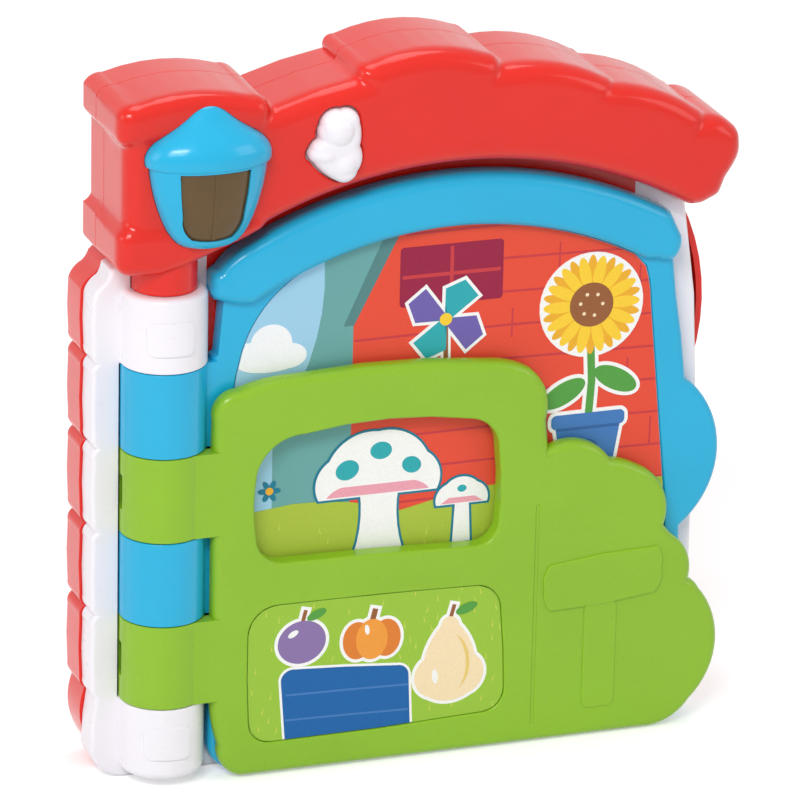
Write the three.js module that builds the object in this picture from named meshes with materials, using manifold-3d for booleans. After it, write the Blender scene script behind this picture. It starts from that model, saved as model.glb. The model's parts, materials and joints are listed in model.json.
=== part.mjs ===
// Standing barn-shaped book in moulded plastic: a hollow back case, two stiff pages on one rod.
// Millimetres. x runs to the right, y to the back, z up; the page rod stands at x = 0, y = 0.
import * as THREE from 'three';
import { mergeVertices } from 'three/addons/utils/BufferGeometryUtils.js';
import Module from 'manifold-3d';

const wasm = await Module();
wasm.setup();
const { Manifold, Mesh: ManifoldMesh } = wasm;

// Driving dimensions
const GAP = 0.3;
const WALL = 2.4;

const COLUMN_R = 16;
const COLUMN_BOTTOM = 4;
const END_KNUCKLE = 28.4;
const PITCH = 32.6;
const KNUCKLES = 4;
const COLUMN_SIDES = 24;
const ROD_R = 2.5;

const CASE_LEFT = -24.5;
const CASE_RIGHT = 209.5;
const CASE_CORNER = 12;
const CASE_FRONT = 2;
const PARTING = 14;
const CASE_BACK = 33;
const SCALLOP_DEPTH = 2.4;
const TAB_SAG = 8;

const ROOF_FRONT = -13.5;
const ROOF_RISE = 46;
const ROOF_RIGHT = 216.3;
const ROOF_ROUND = 7;
const ARCH_X = 109;
const ARCH_RISE = 39.8;
const ARCH_R = 175;
const ARCH_START = 27;
const ARCH_END = 199;
const TOWER_LEFT = -18.5;
const TOWER_RIGHT = 34.4;
const TOWER_RISE = 42;
const TOWER_FOOT = 8.8;
const CORNICE = 3;
const CROWN_PROUD = 2.4;
const NECK_R = 12;

const GREEN_FRONT = -13.5;
const GREEN_THICK = 6.4;
const BLUE_FRONT = -6.2;
const BLUE_THICK = 7.6;
const BAND_FRONT = -10.4;
const BAND_WIDTH = 19.7;
const PAGE_BOTTOM = 1;
const PAGE_LEFT = 16.8;
const PAGE_ROUND = 2.6;
const BLUE_RIGHT = 202;
const POCKET = 1.4;
const CARD = 0.6;

const LANTERN_X = 13.5;
const LANTERN_R = 23.5;
const LANTERN_DROP = 20.5;
const LANTERN_HEIGHT = 53;
const LANTERN_OUT = 12.5;
const LANTERN_SIDES = 18;

const BIRD_X = 57;
const BIRD_RISE = 14.6;
const BIRD_PROUD = 4.8;
const BIRD_TRAVEL = 2;

const DOOR_X = 104;
const DOOR_Z = 52;
const DOOR_W = 70;
const DOOR_H = 46;
const CELL_R = 7.1;
const CELL_L = 50.2;
const SPEAKER_X = 104;
const SPEAKER_Z = 140;
const SPEAKER_R = 20;
const SWITCH_X = 168;
const SWITCH_Z = 52;

// How far a cutting block runs when it has to pass everything
const REACH = 400;

const RED = 0xe6392f;
const BLUE = 0x3cb2e4;
const GREEN = 0x96c434;
const WHITE = 0xf3eef6;

// Heights that follow from the column
const seam = (i) => COLUMN_BOTTOM + END_KNUCKLE + i * PITCH;
const columnTop = seam(KNUCKLES) + END_KNUCKLE;
const archTop = columnTop + ARCH_RISE;
const roofTop = archTop + ROOF_RISE;
const towerTop = archTop + TOWER_RISE;
const towerFoot = columnTop + TOWER_FOOT;
const lanternBottom = archTop - LANTERN_DROP;
const lanternRim = lanternBottom + 0.594 * LANTERN_HEIGHT;
const birdZ = archTop + BIRD_RISE;

// A closed geometry as a solid: shared corners merged, triangles with no area left out
function solidFrom(geometry) {
  const bare = geometry.index ? geometry.toNonIndexed() : geometry;
  bare.deleteAttribute('normal');
  bare.deleteAttribute('uv');
  const merged = mergeVertices(bare, 1e-4);
  const all = merged.index.array;
  const tris = [];
  for (let t = 0; t < all.length; t += 3) {
    const [a, b, c] = [all[t], all[t + 1], all[t + 2]];
    if (a !== b && b !== c && c !== a) tris.push(a, b, c);
  }
  return new Manifold(new ManifoldMesh({
    numProp: 3,
    vertProperties: new Float32Array(merged.attributes.position.array),
    triVerts: new Uint32Array(tris),
  }));
}

// Closed skin over a front-to-back row of x-z rings, with a flat cap on both ends.
function skin(rings) {
  const n = rings[0].length;
  const corners = rings.flat();
  const tris = [];
  for (let k = 0; k + 1 < rings.length; k += 1) {
    for (let i = 0; i < n; i += 1) {
      const j = (i + 1) % n;
      tris.push(k * n + i, (k + 1) * n + i, k * n + j);
      tris.push(k * n + j, (k + 1) * n + i, (k + 1) * n + j);
    }
  }
  const cap = (first, back) => {
    const ring = corners.slice(first, first + n);
    const own = ring.map((_, i) => i).filter((i) => {
      const [px, , pz] = ring[(i + n - 1) % n];
      return Math.hypot(ring[i][0] - px, ring[i][2] - pz) > 1e-7;
    });
    const flat = own.map((i) => new THREE.Vector2(
      ring[i][0] + 1e-6 * Math.sin(7 * i),
      ring[i][2] + 1e-6 * Math.cos(5 * i),
    ));
    for (const [a, b, c] of THREE.ShapeUtils.triangulateShape(flat, [])) {
      const turn = (flat[b].x - flat[a].x) * (flat[c].y - flat[a].y)
        - (flat[c].x - flat[a].x) * (flat[b].y - flat[a].y);
      const [q, r] = (turn >= 0) === back ? [c, b] : [b, c];
      tris.push(first + own[a], first + own[q], first + own[r]);
    }
  };
  cap(0, false);
  cap((rings.length - 1) * n, true);
  const geometry = new THREE.BufferGeometry();
  geometry.setAttribute('position', new THREE.Float32BufferAttribute(corners.flat(), 3));
  geometry.setIndex(tris);
  return solidFrom(geometry);
}

function nudge(loop, depth) {
  const n = loop.length;
  return loop.map(([x, z], i) => {
    const [px, pz] = loop[(i + n - 1) % n];
    const [qx, qz] = loop[(i + 1) % n];
    const la = Math.hypot(x - px, z - pz);
    const lb = Math.hypot(qx - x, qz - z);
    const nx = -((z - pz) / la + (qz - z) / lb);
    const nz = (x - px) / la + (qx - x) / lb;
    const size = Math.hypot(nx, nz);
    const half = Math.max(0.5, size / 2);
    return [x + depth * nx / size / half, z + depth * nz / size / half];
  });
}

// Moves a loop inwards (negative: outwards) a little at a time; corners that meet travel on as one.
function inset(loop, depth) {
  let points = loop;
  let owner = loop.map((_, i) => i);
  const steps = Math.max(1, Math.ceil(Math.abs(depth) / 0.35));
  for (let s = 0; s < steps; s += 1) {
    const moved = nudge(points, depth / steps);
    const n = points.length;
    const gone = moved.map(([x, z], i) => {
      const j = (i + 1) % n;
      const dx = moved[j][0] - x;
      const dz = moved[j][1] - z;
      const along = dx * (points[j][0] - points[i][0]) + dz * (points[j][1] - points[i][1]);
      return along <= 0 || Math.hypot(dx, dz) < 0.08;
    });
    const first = gone.findIndex((flag) => !flag) + 1;
    const next = [];
    const target = [];
    for (let k = 0; k < n; k += 1) {
      const i = (first + k) % n;
      const previous = (i + n - 1) % n;
      if (k > 0 && gone[previous]) {
        next[next.length - 1].push(moved[i]);
      } else {
        next.push([moved[i]]);
      }
      target[i] = next.length - 1;
    }
    points = next.map((group) => [
      group.reduce((sum, [x]) => sum + x, 0) / group.length,
      group.reduce((sum, [, z]) => sum + z, 0) / group.length,
    ]);
    owner = owner.map((i) => target[i]);
  }
  return owner.map((i) => points[i]);
}

// The inset loop of a hollow or a loose card, each corner once.
function shrink(loop, depth) {
  const moved = inset(loop, depth);
  const n = moved.length;
  return moved.filter(([x, z], i) => Math.hypot(x - moved[(i + n - 1) % n][0], z - moved[(i + n - 1) % n][1]) > 1e-7);
}

// A flat piece from an x-z loop, front face at y0 and back face at y1, with square edges.
function slab(loop, y0, y1) {
  const shape = new THREE.Shape(loop.map(([x, z]) => new THREE.Vector2(x, z)));
  const geometry = new THREE.ExtrudeGeometry(shape, { depth: y1 - y0, bevelEnabled: false });
  geometry.rotateX(Math.PI / 2);
  geometry.translate(0, y1, 0);
  return solidFrom(geometry);
}

// The same with its front and back edges rounded to a radius each.
function plate(loop, y0, y1, front = 0, back = 0, steps = 2) {
  if (front === 0 && back === 0) return slab(loop, y0, y1);
  const levels = [];
  for (let i = 0; i < steps && front > 0; i += 1) {
    const a = (i / steps) * Math.PI / 2;
    levels.push([y0 + front * (1 - Math.cos(a)), front * (1 - Math.sin(a))]);
  }
  levels.push([y0 + front, 0], [y1 - back, 0]);
  for (let i = steps - 1; i >= 0 && back > 0; i -= 1) {
    const a = (i / steps) * Math.PI / 2;
    levels.push([y1 - back * (1 - Math.cos(a)), back * (1 - Math.sin(a))]);
  }
  const loops = levels.map(([, depth]) => (depth > 0 ? inset(loop, depth) : loop));
  return skin(levels.map(([y], k) => loops[k].map(([x, z]) => [x, y, z])));
}

// A loop of straight and bowed legs, run anticlockwise; a positive bow swells outwards.
function outline(start, legs) {
  const points = [start];
  let [x0, z0] = start;
  for (const [x1, z1, bow = 0, steps = 1] of legs) {
    if (bow !== 0) {
      const chord = Math.hypot(x1 - x0, z1 - z0);
      const radius = (chord * chord / 4 + bow * bow) / (2 * Math.abs(bow));
      const shiftIn = Math.sign(bow) * (Math.abs(bow) - radius) / chord;
      const cx = (x0 + x1) / 2 + shiftIn * (z1 - z0);
      const cz = (z0 + z1) / 2 - shiftIn * (x1 - x0);
      const from = Math.atan2(z0 - cz, x0 - cx);
      const to = Math.atan2(z1 - cz, x1 - cx);
      const arc = new THREE.EllipseCurve(cx, cz, radius, radius, from, to, bow < 0);
      arc.getPoints(steps).slice(1, -1).forEach((p) => points.push([p.x, p.y]));
    }
    points.push([x1, z1]);
    [x0, z0] = [x1, z1];
  }
  const [ex, ez] = points[points.length - 1];
  if (Math.hypot(ex - start[0], ez - start[1]) < 1e-6) points.pop();
  return points;
}

// Quarter-turn corner, as a leg of an outline.
const corner = (x, z, r, steps = 4) => [x, z, r * (1 - Math.SQRT1_2), steps];

function roundRect(x0, x1, z0, z1, r, steps = 4) {
  return outline([x0 + r, z0], [
    [x1 - r, z0],
    corner(x1, z0 + r, r, steps),
    [x1, z1 - r],
    corner(x1 - r, z1, r, steps),
    [x0 + r, z1],
    corner(x0, z1 - r, r, steps),
    [x0, z0 + r],
    corner(x0 + r, z0, r, steps),
  ]);
}

function disc(x, z, r, sides = 16) {
  const round = new THREE.EllipseCurve(x, z, r, r, 0, 2 * Math.PI, false, Math.PI / sides);
  return round.getPoints(sides).slice(1).map((p) => [p.x, p.y]);
}

const pin = (x, z, r, y0, y1, sides = 12) => plate(disc(x, z, r, sides), y0, y1);

function block(x0, x1, y0, y1, z0, z1) {
  const geometry = new THREE.BoxGeometry(x1 - x0, y1 - y0, z1 - z0);
  geometry.translate((x0 + x1) / 2, (y0 + y1) / 2, (z0 + z1) / 2);
  return solidFrom(geometry);
}

const behind = (y) => block(-REACH, REACH, y, REACH, -REACH, REACH);
const ahead = (y) => block(-REACH, REACH, -REACH, y, -REACH, REACH);

// A turned piece standing on z, from rows of [z, radius] running upwards.
function turned(rows, sides = COLUMN_SIDES, x = 0, y = 0, flat = 1) {
  const profile = [[rows[0][0], 0], ...rows, [rows[rows.length - 1][0], 0]];
  const start = sides % 4 === 0 ? Math.PI / sides : 0;
  const geometry = new THREE.LatheGeometry(profile.map(([z, r]) => new THREE.Vector2(r, z)), sides, start);
  geometry.rotateX(Math.PI / 2);
  geometry.scale(1, flat, 1);
  geometry.translate(x, y, 0);
  return solidFrom(geometry);
}

const post = (r, z0, z1, sides = COLUMN_SIDES, x = 0, y = 0) => turned([[z0, r], [z1, r]], sides, x, y);

function ball(x, y, z, rx, ry, rz) {
  const geometry = new THREE.SphereGeometry(1, 12, 8);
  geometry.scale(rx, ry, rz);
  geometry.translate(x, y, z);
  return solidFrom(geometry);
}

const join = (...solids) => solids.reduce((a, b) => a.add(b));
const cut = (solid, ...tools) => tools.reduce((a, b) => a.subtract(b), solid);

const root = new THREE.Group();
root.name = 'childrens_book';

function place(name, solid, colour, roughness = 0.35, metalness = 0, opacity = 1) {
  const raw = solid.getMesh();
  const geometry = new THREE.BufferGeometry();
  geometry.setAttribute('position', new THREE.BufferAttribute(new Float32Array(raw.vertProperties), 3));
  geometry.setIndex(new THREE.BufferAttribute(new Uint32Array(raw.triVerts), 1));
  geometry.computeVertexNormals();
  const material = new THREE.MeshStandardMaterial({ color: colour, roughness, metalness, flatShading: true });
  if (opacity < 1) {
    material.transparent = true;
    material.opacity = opacity;
  }
  const mesh = new THREE.Mesh(geometry, material);
  mesh.name = name;
  root.add(mesh);
  return mesh;
}

// Arch shared by the roof underside, the blue page and its band
const archZ = (radius, x) => archTop - ARCH_R + Math.sqrt(radius * radius - (x - ARCH_X) ** 2);

function archRun(radius, x0, x1, steps) {
  return Array.from({ length: steps + 1 }, (_, i) => {
    const x = x0 + (x1 - x0) * i / steps;
    return [x, archZ(radius, x)];
  });
}

const archFoot = archZ(ARCH_R, ARCH_END);
const tileEnd = ROOF_RIGHT - 12.8;

// Roof edge from the right-hand end over the tiles to the tower, shared by both roof halves
const roofRun = () => [
  [tileEnd, roofTop - 36, 11.6, 8],
  [tileEnd - 1.4, roofTop - 33, 0.5, 2],
  [167, roofTop - 19.6, 2.6, 4],
  [165.4, roofTop - 17.4, 0.6, 2],
  [123.6, roofTop - 9, 3.6, 5],
  [117, roofTop - 2.2, 2.2, 3],
  [68, roofTop - 1.2, 2.3, 5],
  [61.6, roofTop - 5.4, 1.5, 3],
  [TOWER_RIGHT + 1.2, roofTop - 20.5, 1.2, 3],
  [TOWER_RIGHT, towerTop - 16.4, -0.4, 2],
  [TOWER_RIGHT - 9, towerTop - 4.2, 2.6, 4],
  [TOWER_LEFT + 4, towerTop - 0.4, 2.2, 4],
  [TOWER_LEFT - CORNICE, towerTop - 6, 1.6, 3],
  [TOWER_LEFT - CORNICE, towerTop - 21],
  [TOWER_LEFT, towerTop - 24.5, 0.5, 2],
  [TOWER_LEFT, towerFoot + 19],
  [TOWER_LEFT - CORNICE, towerFoot + 16, -0.5, 2],
  [TOWER_LEFT - CORNICE, towerFoot + 4],
  [TOWER_LEFT + 2, towerFoot, 1, 3],
];

const underside = [
  [-5, towerFoot - 0.6],
  [5, towerFoot + 2.4],
  ...archRun(ARCH_R, ARCH_START, ARCH_END, 12),
];

const roofLoop = outline([TOWER_LEFT + 2, towerFoot], [
  ...underside,
  [ARCH_END + 5, archFoot - 0.1],
  [ARCH_END + 9, archFoot + 1.9],
  ...roofRun(),
]);

const caseTopRight = [ARCH_END + 3.4, archFoot - 3.1];
const frontLoop = outline([CASE_LEFT + CASE_CORNER, 0], [
  [CASE_RIGHT - CASE_CORNER, 0],
  corner(CASE_RIGHT, CASE_CORNER, CASE_CORNER),
  [CASE_RIGHT, 131],
  [...caseTopRight, 1.6, 5],
  [ARCH_END + 1, archZ(ARCH_R, ARCH_END) - GAP],
  ...[...underside].reverse().map(([x, z]) => [x, z - GAP]),
  [TOWER_LEFT + 2, towerFoot - GAP],
  [TOWER_LEFT - 1, towerFoot - 1.6],
  [CASE_LEFT, columnTop + 0.8, 1.2, 3],
  [CASE_LEFT, CASE_CORNER],
  corner(CASE_LEFT + CASE_CORNER, 0, CASE_CORNER),
]);

function scallops() {
  const legs = [];
  for (let i = KNUCKLES; i >= 0; i -= 1) {
    legs.push([CASE_LEFT - 0.6, seam(i), SCALLOP_DEPTH, 5]);
  }
  return legs;
}

const backLoop = outline([CASE_LEFT + CASE_CORNER, 0], [
  [CASE_RIGHT - CASE_CORNER, 0],
  corner(CASE_RIGHT, CASE_CORNER, CASE_CORNER),
  [CASE_RIGHT, 128],
  [caseTopRight[0] + 3, archFoot - 6.1, TAB_SAG, 9],
  [ARCH_END + 9, archFoot + 1.9],
  ...roofRun(),
  [TOWER_LEFT - 1, towerFoot - 2.6],
  ...scallops(),
  [CASE_LEFT + CASE_CORNER - 0.6, 0, 6.6, 6],
]);

// Screws that hold the front pieces to the back case
const CASE_SCREWS = [[30, 16], [192, 16], [30, columnTop - 15], [190, columnTop - 15]];
const ROOF_SCREWS = [[TOWER_LEFT + 10, towerTop - 15], [92, roofTop - 19], [196, archFoot + 20]];
const SCREW_HEAD_R = 2.8;
const SCREW_R = 1.4;
const BOSS_R = 4;
const COUNTERBORE_R = SCREW_HEAD_R + GAP;
const SCREW_SEAT = PARTING + 3.4;

const split = GAP / 2;

function backBoss(x, z) {
  return pin(x, z, BOSS_R + 0.6, PARTING + split, CASE_BACK - WALL / 2, 10);
}

function backBore(x, z) {
  return join(
    pin(x, z, COUNTERBORE_R, SCREW_SEAT, CASE_BACK + 1, 10),
    pin(x, z, SCREW_R + GAP, PARTING - 1, SCREW_SEAT + 1, 8),
  );
}

function frontBoss(x, z, face) {
  return cut(
    pin(x, z, BOSS_R, face, PARTING - split, 10),
    pin(x, z, SCREW_R + GAP / 2, face + 3, PARTING, 8),
  );
}

function screw(x, z, seat, tip, headR = SCREW_HEAD_R, r = SCREW_R) {
  return join(pin(x, z, headR, seat + GAP / 2, seat + 2.2, 10), pin(x, z, r, tip, seat + 1, 8));
}

// Back case: tray with the roof's rear half, scallops down the spine, thumb tab on the right
const doorX0 = DOOR_X - DOOR_W / 2;
const doorX1 = DOOR_X + DOOR_W / 2;
const doorZ0 = DOOR_Z - DOOR_H / 2;
const doorZ1 = DOOR_Z + DOOR_H / 2;
const cellBayZ0 = doorZ0 + 4;
const cellBayZ1 = cellBayZ0 + 4 * CELL_R + 1.6;
const cellBayX0 = DOOR_X - CELL_L / 2 - 3;
const cellBayX1 = DOOR_X + CELL_L / 2 + 3;
const bayFloor = PARTING + 1;
const doorScrewZ = doorZ1 - 6.5;
const DOOR_BOSS_R = 4.4;

const trough = COLUMN_R + 2 * GAP;
const troughWall = 1.6;
const caseCavity = plate(shrink(backLoop, WALL), PARTING - 1, CASE_BACK - WALL, 0, 2, 1);
let backShell = cut(plate(backLoop, PARTING + split, CASE_BACK, 0, 4, 2), caseCavity);
const bay = block(cellBayX0 - 1.6, cellBayX1 + 1.6, bayFloor, CASE_BACK - 1, cellBayZ0 - 1.6, cellBayZ1 + 1.6);
const speakerRing = cut(
  pin(SPEAKER_X, SPEAKER_Z, SPEAKER_R + 2, CASE_BACK - WALL - 4, CASE_BACK - 1, 22),
  pin(SPEAKER_X, SPEAKER_Z, SPEAKER_R + GAP, CASE_BACK - WALL - 5, CASE_BACK - WALL, 22),
);
const allScrews = [...CASE_SCREWS, ...ROOF_SCREWS];
const switchPosts = [SWITCH_X - 14, SWITCH_X + 14];
backShell = join(
  backShell,
  bay,
  speakerRing,
  pin(DOOR_X, doorScrewZ, DOOR_BOSS_R + 2 * GAP + 1.6, CASE_BACK - 12, CASE_BACK - 1, 10),
  ...allScrews.map(([x, z]) => backBoss(x, z)),
  ...switchPosts.map((x) => pin(x, SWITCH_Z, 2.4, CASE_BACK - WALL - 1.8, CASE_BACK - 1, 8)),
  ...switchPosts.map((x) => pin(x, SWITCH_Z, 1, CASE_BACK - WALL - 4.4, CASE_BACK - WALL, 8)),
);
const grille = [];
for (let ring = 0; ring < 3; ring += 1) {
  const count = ring === 0 ? 1 : ring * 6;
  for (let i = 0; i < count; i += 1) {
    const a = i * 2 * Math.PI / count;
    grille.push(pin(
      SPEAKER_X + ring * 6 * Math.cos(a),
      SPEAKER_Z + ring * 6 * Math.sin(a),
      1.7, CASE_BACK - WALL - 1, CASE_BACK + 1, 6,
    ));
  }
}
backShell = cut(
  backShell,
  block(cellBayX0, cellBayX1, bayFloor + 1.4, CASE_BACK + 1, cellBayZ0, cellBayZ1),
  block(doorX0, doorX1, CASE_BACK - 2, CASE_BACK + 1, doorZ0, doorZ1),
  pin(DOOR_X, doorScrewZ, SCREW_R + GAP / 2, CASE_BACK - 11, CASE_BACK + 1, 10),
  pin(DOOR_X, doorScrewZ, DOOR_BOSS_R + 2 * GAP, CASE_BACK - 5 - GAP, CASE_BACK + 1, 10),
  block(SWITCH_X - 7, SWITCH_X + 7, CASE_BACK - 1, CASE_BACK + 1, SWITCH_Z - 4, SWITCH_Z + 4),
  block(SWITCH_X - 5.5, SWITCH_X + 5.5, CASE_BACK - WALL - 1, CASE_BACK, SWITCH_Z - 2, SWITCH_Z + 2),
  ...allScrews.map(([x, z]) => backBore(x, z)),
  ...grille,
);
place('rear_case', backShell, RED);

// White front of the case: flat face with a picture recess, trough and end knuckles for the rod
const neckTop = columnTop + 14.8;
const panelLoop = outline([34, 10], [
  [186, 10],
  corner(196, 20, 10),
  [196, 150],
  [190, archFoot - 10, 1, 4],
  ...archRun(ARCH_R - 9, 184, 36, 9),
  [26, columnTop - 1, 3, 3],
  [24, columnTop - 17],
  [24, 20],
  corner(34, 10, 10),
]);
const frontCavity = plate(shrink(frontLoop, WALL), CASE_FRONT + WALL + POCKET, PARTING + 1, 1, 0, 2);
const endKnuckle = (z0, z1, up) => turned(up
  ? [[z0, COLUMN_R], [z1 - 2, COLUMN_R], [z1 - 0.6, COLUMN_R - 0.7], [z1, COLUMN_R - 2.2]]
  : [[z0, COLUMN_R - 3.5], [z0 + 1.1, COLUMN_R - 1.2], [z0 + 3.4, COLUMN_R], [z1, COLUMN_R]]);
const lowKnuckle = endKnuckle(COLUMN_BOTTOM, seam(0) - split, false);
const highKnuckle = endKnuckle(seam(KNUCKLES) + split, columnTop, true);
const raisedSquare = (z) => post(COLUMN_R + 0.5, z - 9, z + 9).intersect(
  plate(roundRect(-12, 8, z - 8, z + 8, 3), -2 * COLUMN_R, -1));
const squares = [raisedSquare(COLUMN_BOTTOM + 15), raisedSquare(columnTop - 15)];
let frontShell = cut(plate(frontLoop, CASE_FRONT, PARTING - split, 1.6, 0, 2), frontCavity);
frontShell = join(
  frontShell,
  cut(post(trough + troughWall, seam(0) - 2, seam(KNUCKLES) + 2), ahead(CASE_FRONT)),
  ...CASE_SCREWS.map(([x, z]) => frontBoss(x, z, CASE_FRONT + 2)),
);
frontShell = cut(
  frontShell,
  post(trough, seam(0), seam(KNUCKLES)),
  post(NECK_R + GAP, columnTop - 1, neckTop),
  plate(panelLoop, CASE_FRONT - 1, CASE_FRONT + POCKET),
);
frontShell = join(frontShell, lowKnuckle, highKnuckle, ...squares);
frontShell = cut(frontShell, post(ROD_R + GAP / 2, COLUMN_BOTTOM + 4, columnTop - 4, 16));
place('front_case', frontShell, WHITE, 0.4);
const cardLoop = shrink(panelLoop, GAP);
place('case_card', plate(cardLoop, CASE_FRONT + POCKET - CARD - split, CASE_FRONT + POCKET - split), 0xc23a45, 0.6);
place('page_rod', post(ROD_R, COLUMN_BOTTOM + 4.4, columnTop - 4.4, 16), 0xb8bcc0, 0.3, 1);

// Roof front: hollow, with the neck over the column and the openings for lantern and button
const roofCavity = plate(shrink(roofLoop, WALL), ROOF_FRONT + WALL, PARTING + 1, ROOF_ROUND - WALL, 0, 2);
const lampHole = roundRect(LANTERN_X - 8, LANTERN_X + 8, lanternBottom + 6.5, lanternBottom + 29.5, 3, 3);

// Lantern profile, in shares of its height: bowl, brim with a lip, hollow-curved cap, knob
const lanternRows = [
  [0.01, 7.6],
  [0.045, 9.8],
  [0.377, 18],
  [0.53, LANTERN_R - 1.9],
  [0.594, LANTERN_R - 1.2],
  [0.6, LANTERN_R],
  [0.635, LANTERN_R],
  [0.665, LANTERN_R - 2],
  [0.75, LANTERN_R - 6.6],
  [0.85, LANTERN_R - 12.6],
  [0.93, LANTERN_R - 18.2],
  [0.945, LANTERN_R - 17.8],
  [0.975, LANTERN_R - 18.4],
  [1, LANTERN_R - 20.9],
].map(([share, r]) => [lanternBottom + share * LANTERN_HEIGHT, r]);
const lanternFlat = LANTERN_OUT / LANTERN_R;
const lanternTurned = (rows) => turned(rows, LANTERN_SIDES, LANTERN_X, ROOF_FRONT, lanternFlat);
const lanternBody = (grow) => lanternTurned(lanternRows.map(([z, r], i) => [
  z + (i < 2 ? -grow : 0) + (i > 11 ? grow : 0),
  r + grow,
]));
const lanternSkin = (depth) => lanternTurned(lanternRows.map(([z, r]) => [z, Math.max(0.5, r - depth)]));
const lanternBack = ROOF_FRONT + 0.7;

// Bird as the button shows it: round head on top, wing to the left, body drawn down to a blunt tail
const birdAt = (x, z, ...bow) => [BIRD_X + x, birdZ + z, ...bow];
const birdLoop = outline(birdAt(0.5, -13), [
  birdAt(7.8, -9.5, 2, 3),
  birdAt(8.6, 0, 1.4, 2),
  birdAt(8.4, 9, 0.6, 2),
  birdAt(1.5, 13.6, 2.2, 4),
  birdAt(-6, 8.4, 2.2, 3),
  birdAt(-6.4, 3.4, 0.6, 2),
  birdAt(-9.8, 0, 0.6, 2),
  birdAt(-9, -4.8, 1.2, 2),
  birdAt(0.5, -13, 0.8, 2),
]);
let roofShell = cut(plate(roofLoop, ROOF_FRONT, PARTING - split, ROOF_ROUND, 0, 3), roofCavity);
const boardPosts = [[-6, archTop + 17], [37, archTop + 5], [72, archTop + 17]];
const boardFront = 0;
const cornerX = TOWER_LEFT - CORNICE;
const crownLoop = outline([cornerX, towerTop - 21], [
  [TOWER_LEFT, towerTop - 24.5, 0.5, 2],
  [TOWER_RIGHT - 1, towerTop - 24.5],
  [TOWER_RIGHT, towerTop - 16.4],
  [TOWER_RIGHT - 9, towerTop - 4.2, 2.6, 4],
  [TOWER_LEFT + 4, towerTop - 0.4, 2.2, 4],
  [cornerX, towerTop - 6, 1.6, 3],
]);
const footLoop = outline([cornerX, towerFoot + 4], [
  [TOWER_LEFT + 2, towerFoot, 1, 3],
  [-5, towerFoot - 0.6],
  [5, towerFoot + 2.4],
  [ARCH_START, archZ(ARCH_R, ARCH_START)],
  [TOWER_RIGHT, archZ(ARCH_R, TOWER_RIGHT)],
  [TOWER_RIGHT - 1, towerFoot + 19],
  [TOWER_LEFT, towerFoot + 19],
  [cornerX, towerFoot + 16, -0.5, 2],
]);
const proud = (loop) => plate(loop, ROOF_FRONT - CROWN_PROUD, ROOF_FRONT + ROOF_ROUND, ROOF_ROUND - 2.4, 0, 2);
roofShell = join(
  roofShell,
  cut(proud(crownLoop), roofCavity),
  cut(proud(footLoop), roofCavity),
  post(NECK_R, columnTop + GAP, neckTop),
  ...ROOF_SCREWS.map(([x, z]) => frontBoss(x, z, ROOF_FRONT + 2)),
  ...boardPosts.map(([x, z]) => pin(x, z, 2.6, ROOF_FRONT + 1.5, boardFront - split, 10)),
  ...boardPosts.map(([x, z]) => pin(x, z, 1.1, ROOF_FRONT + 1.5, boardFront + 2.6, 8)),
);
roofShell = cut(
  roofShell,
  cut(lanternBody(GAP), behind(lanternBack + GAP)),
  plate(lampHole, ROOF_FRONT - ROOF_ROUND, ROOF_FRONT + 2 * WALL),
  plate(shrink(birdLoop, -0.7), ROOF_FRONT - ROOF_ROUND, ROOF_FRONT + 2 * WALL),
);
place('roof_front', roofShell, RED);

// Lantern: half-round housing on the tower, smoked window behind a frame with one rib
const windowTop = lanternRim - 3.6;
const windowFoot = lanternBottom + 6;
const windowLoop = outline([LANTERN_X - 7.5, windowFoot], [
  [LANTERN_X + 7.5, windowFoot, 1, 3],
  [LANTERN_X + 12.6, windowFoot + 12, 0.4, 3],
  [LANTERN_X + 14, windowTop],
  [LANTERN_X - 14, windowTop],
  [LANTERN_X - 12.6, windowFoot + 12],
  [LANTERN_X - 7.5, windowFoot, 0.4, 3],
]);
const lanternCavity = lanternTurned(lanternRows.slice(0, 9).map(([z, r]) => [
  z + (z < lanternRim ? 1.4 : -1.4),
  Math.max(1, r - 2),
]));
const lampTube = cut(
  join(
    plate(shrink(lampHole, GAP), lanternBack - 1.2, ROOF_FRONT + WALL + 2.4),
    plate(shrink(lampHole, -0.5), ROOF_FRONT + WALL + GAP, ROOF_FRONT + WALL + 1.5),
  ),
  plate(shrink(lampHole, 2), ROOF_FRONT - LANTERN_OUT, 0),
);
const lampBack = cut(
  lanternBody(0),
  ahead(lanternBack - 1.2),
  behind(lanternBack),
  plate(shrink(lampHole, 2), ROOF_FRONT - LANTERN_OUT, 0),
);
const lanternRib = cut(lanternBody(0), lanternSkin(2)).intersect(
  block(LANTERN_X - 0.8, LANTERN_X + 0.8, ROOF_FRONT - LANTERN_OUT, ROOF_FRONT - 2.5, windowFoot - 3, lanternRim));
const lanternFrame = join(
  cut(
    join(cut(lanternBody(0), lanternCavity, behind(lanternBack)), lampTube, lampBack),
    plate(windowLoop, ROOF_FRONT - LANTERN_OUT - 1, lanternBack - 2),
  ),
  lanternRib,
);
place('lantern_frame', lanternFrame, BLUE, 0.32);
const paneSolid = cut(lanternSkin(3), lanternSkin(4.2)).intersect(
  plate(shrink(windowLoop, -1.2), ROOF_FRONT - LANTERN_OUT, ROOF_FRONT - 2.5));
place('lantern_window', paneSolid, 0x6e5532, 0.15, 0, 0.6);

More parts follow.
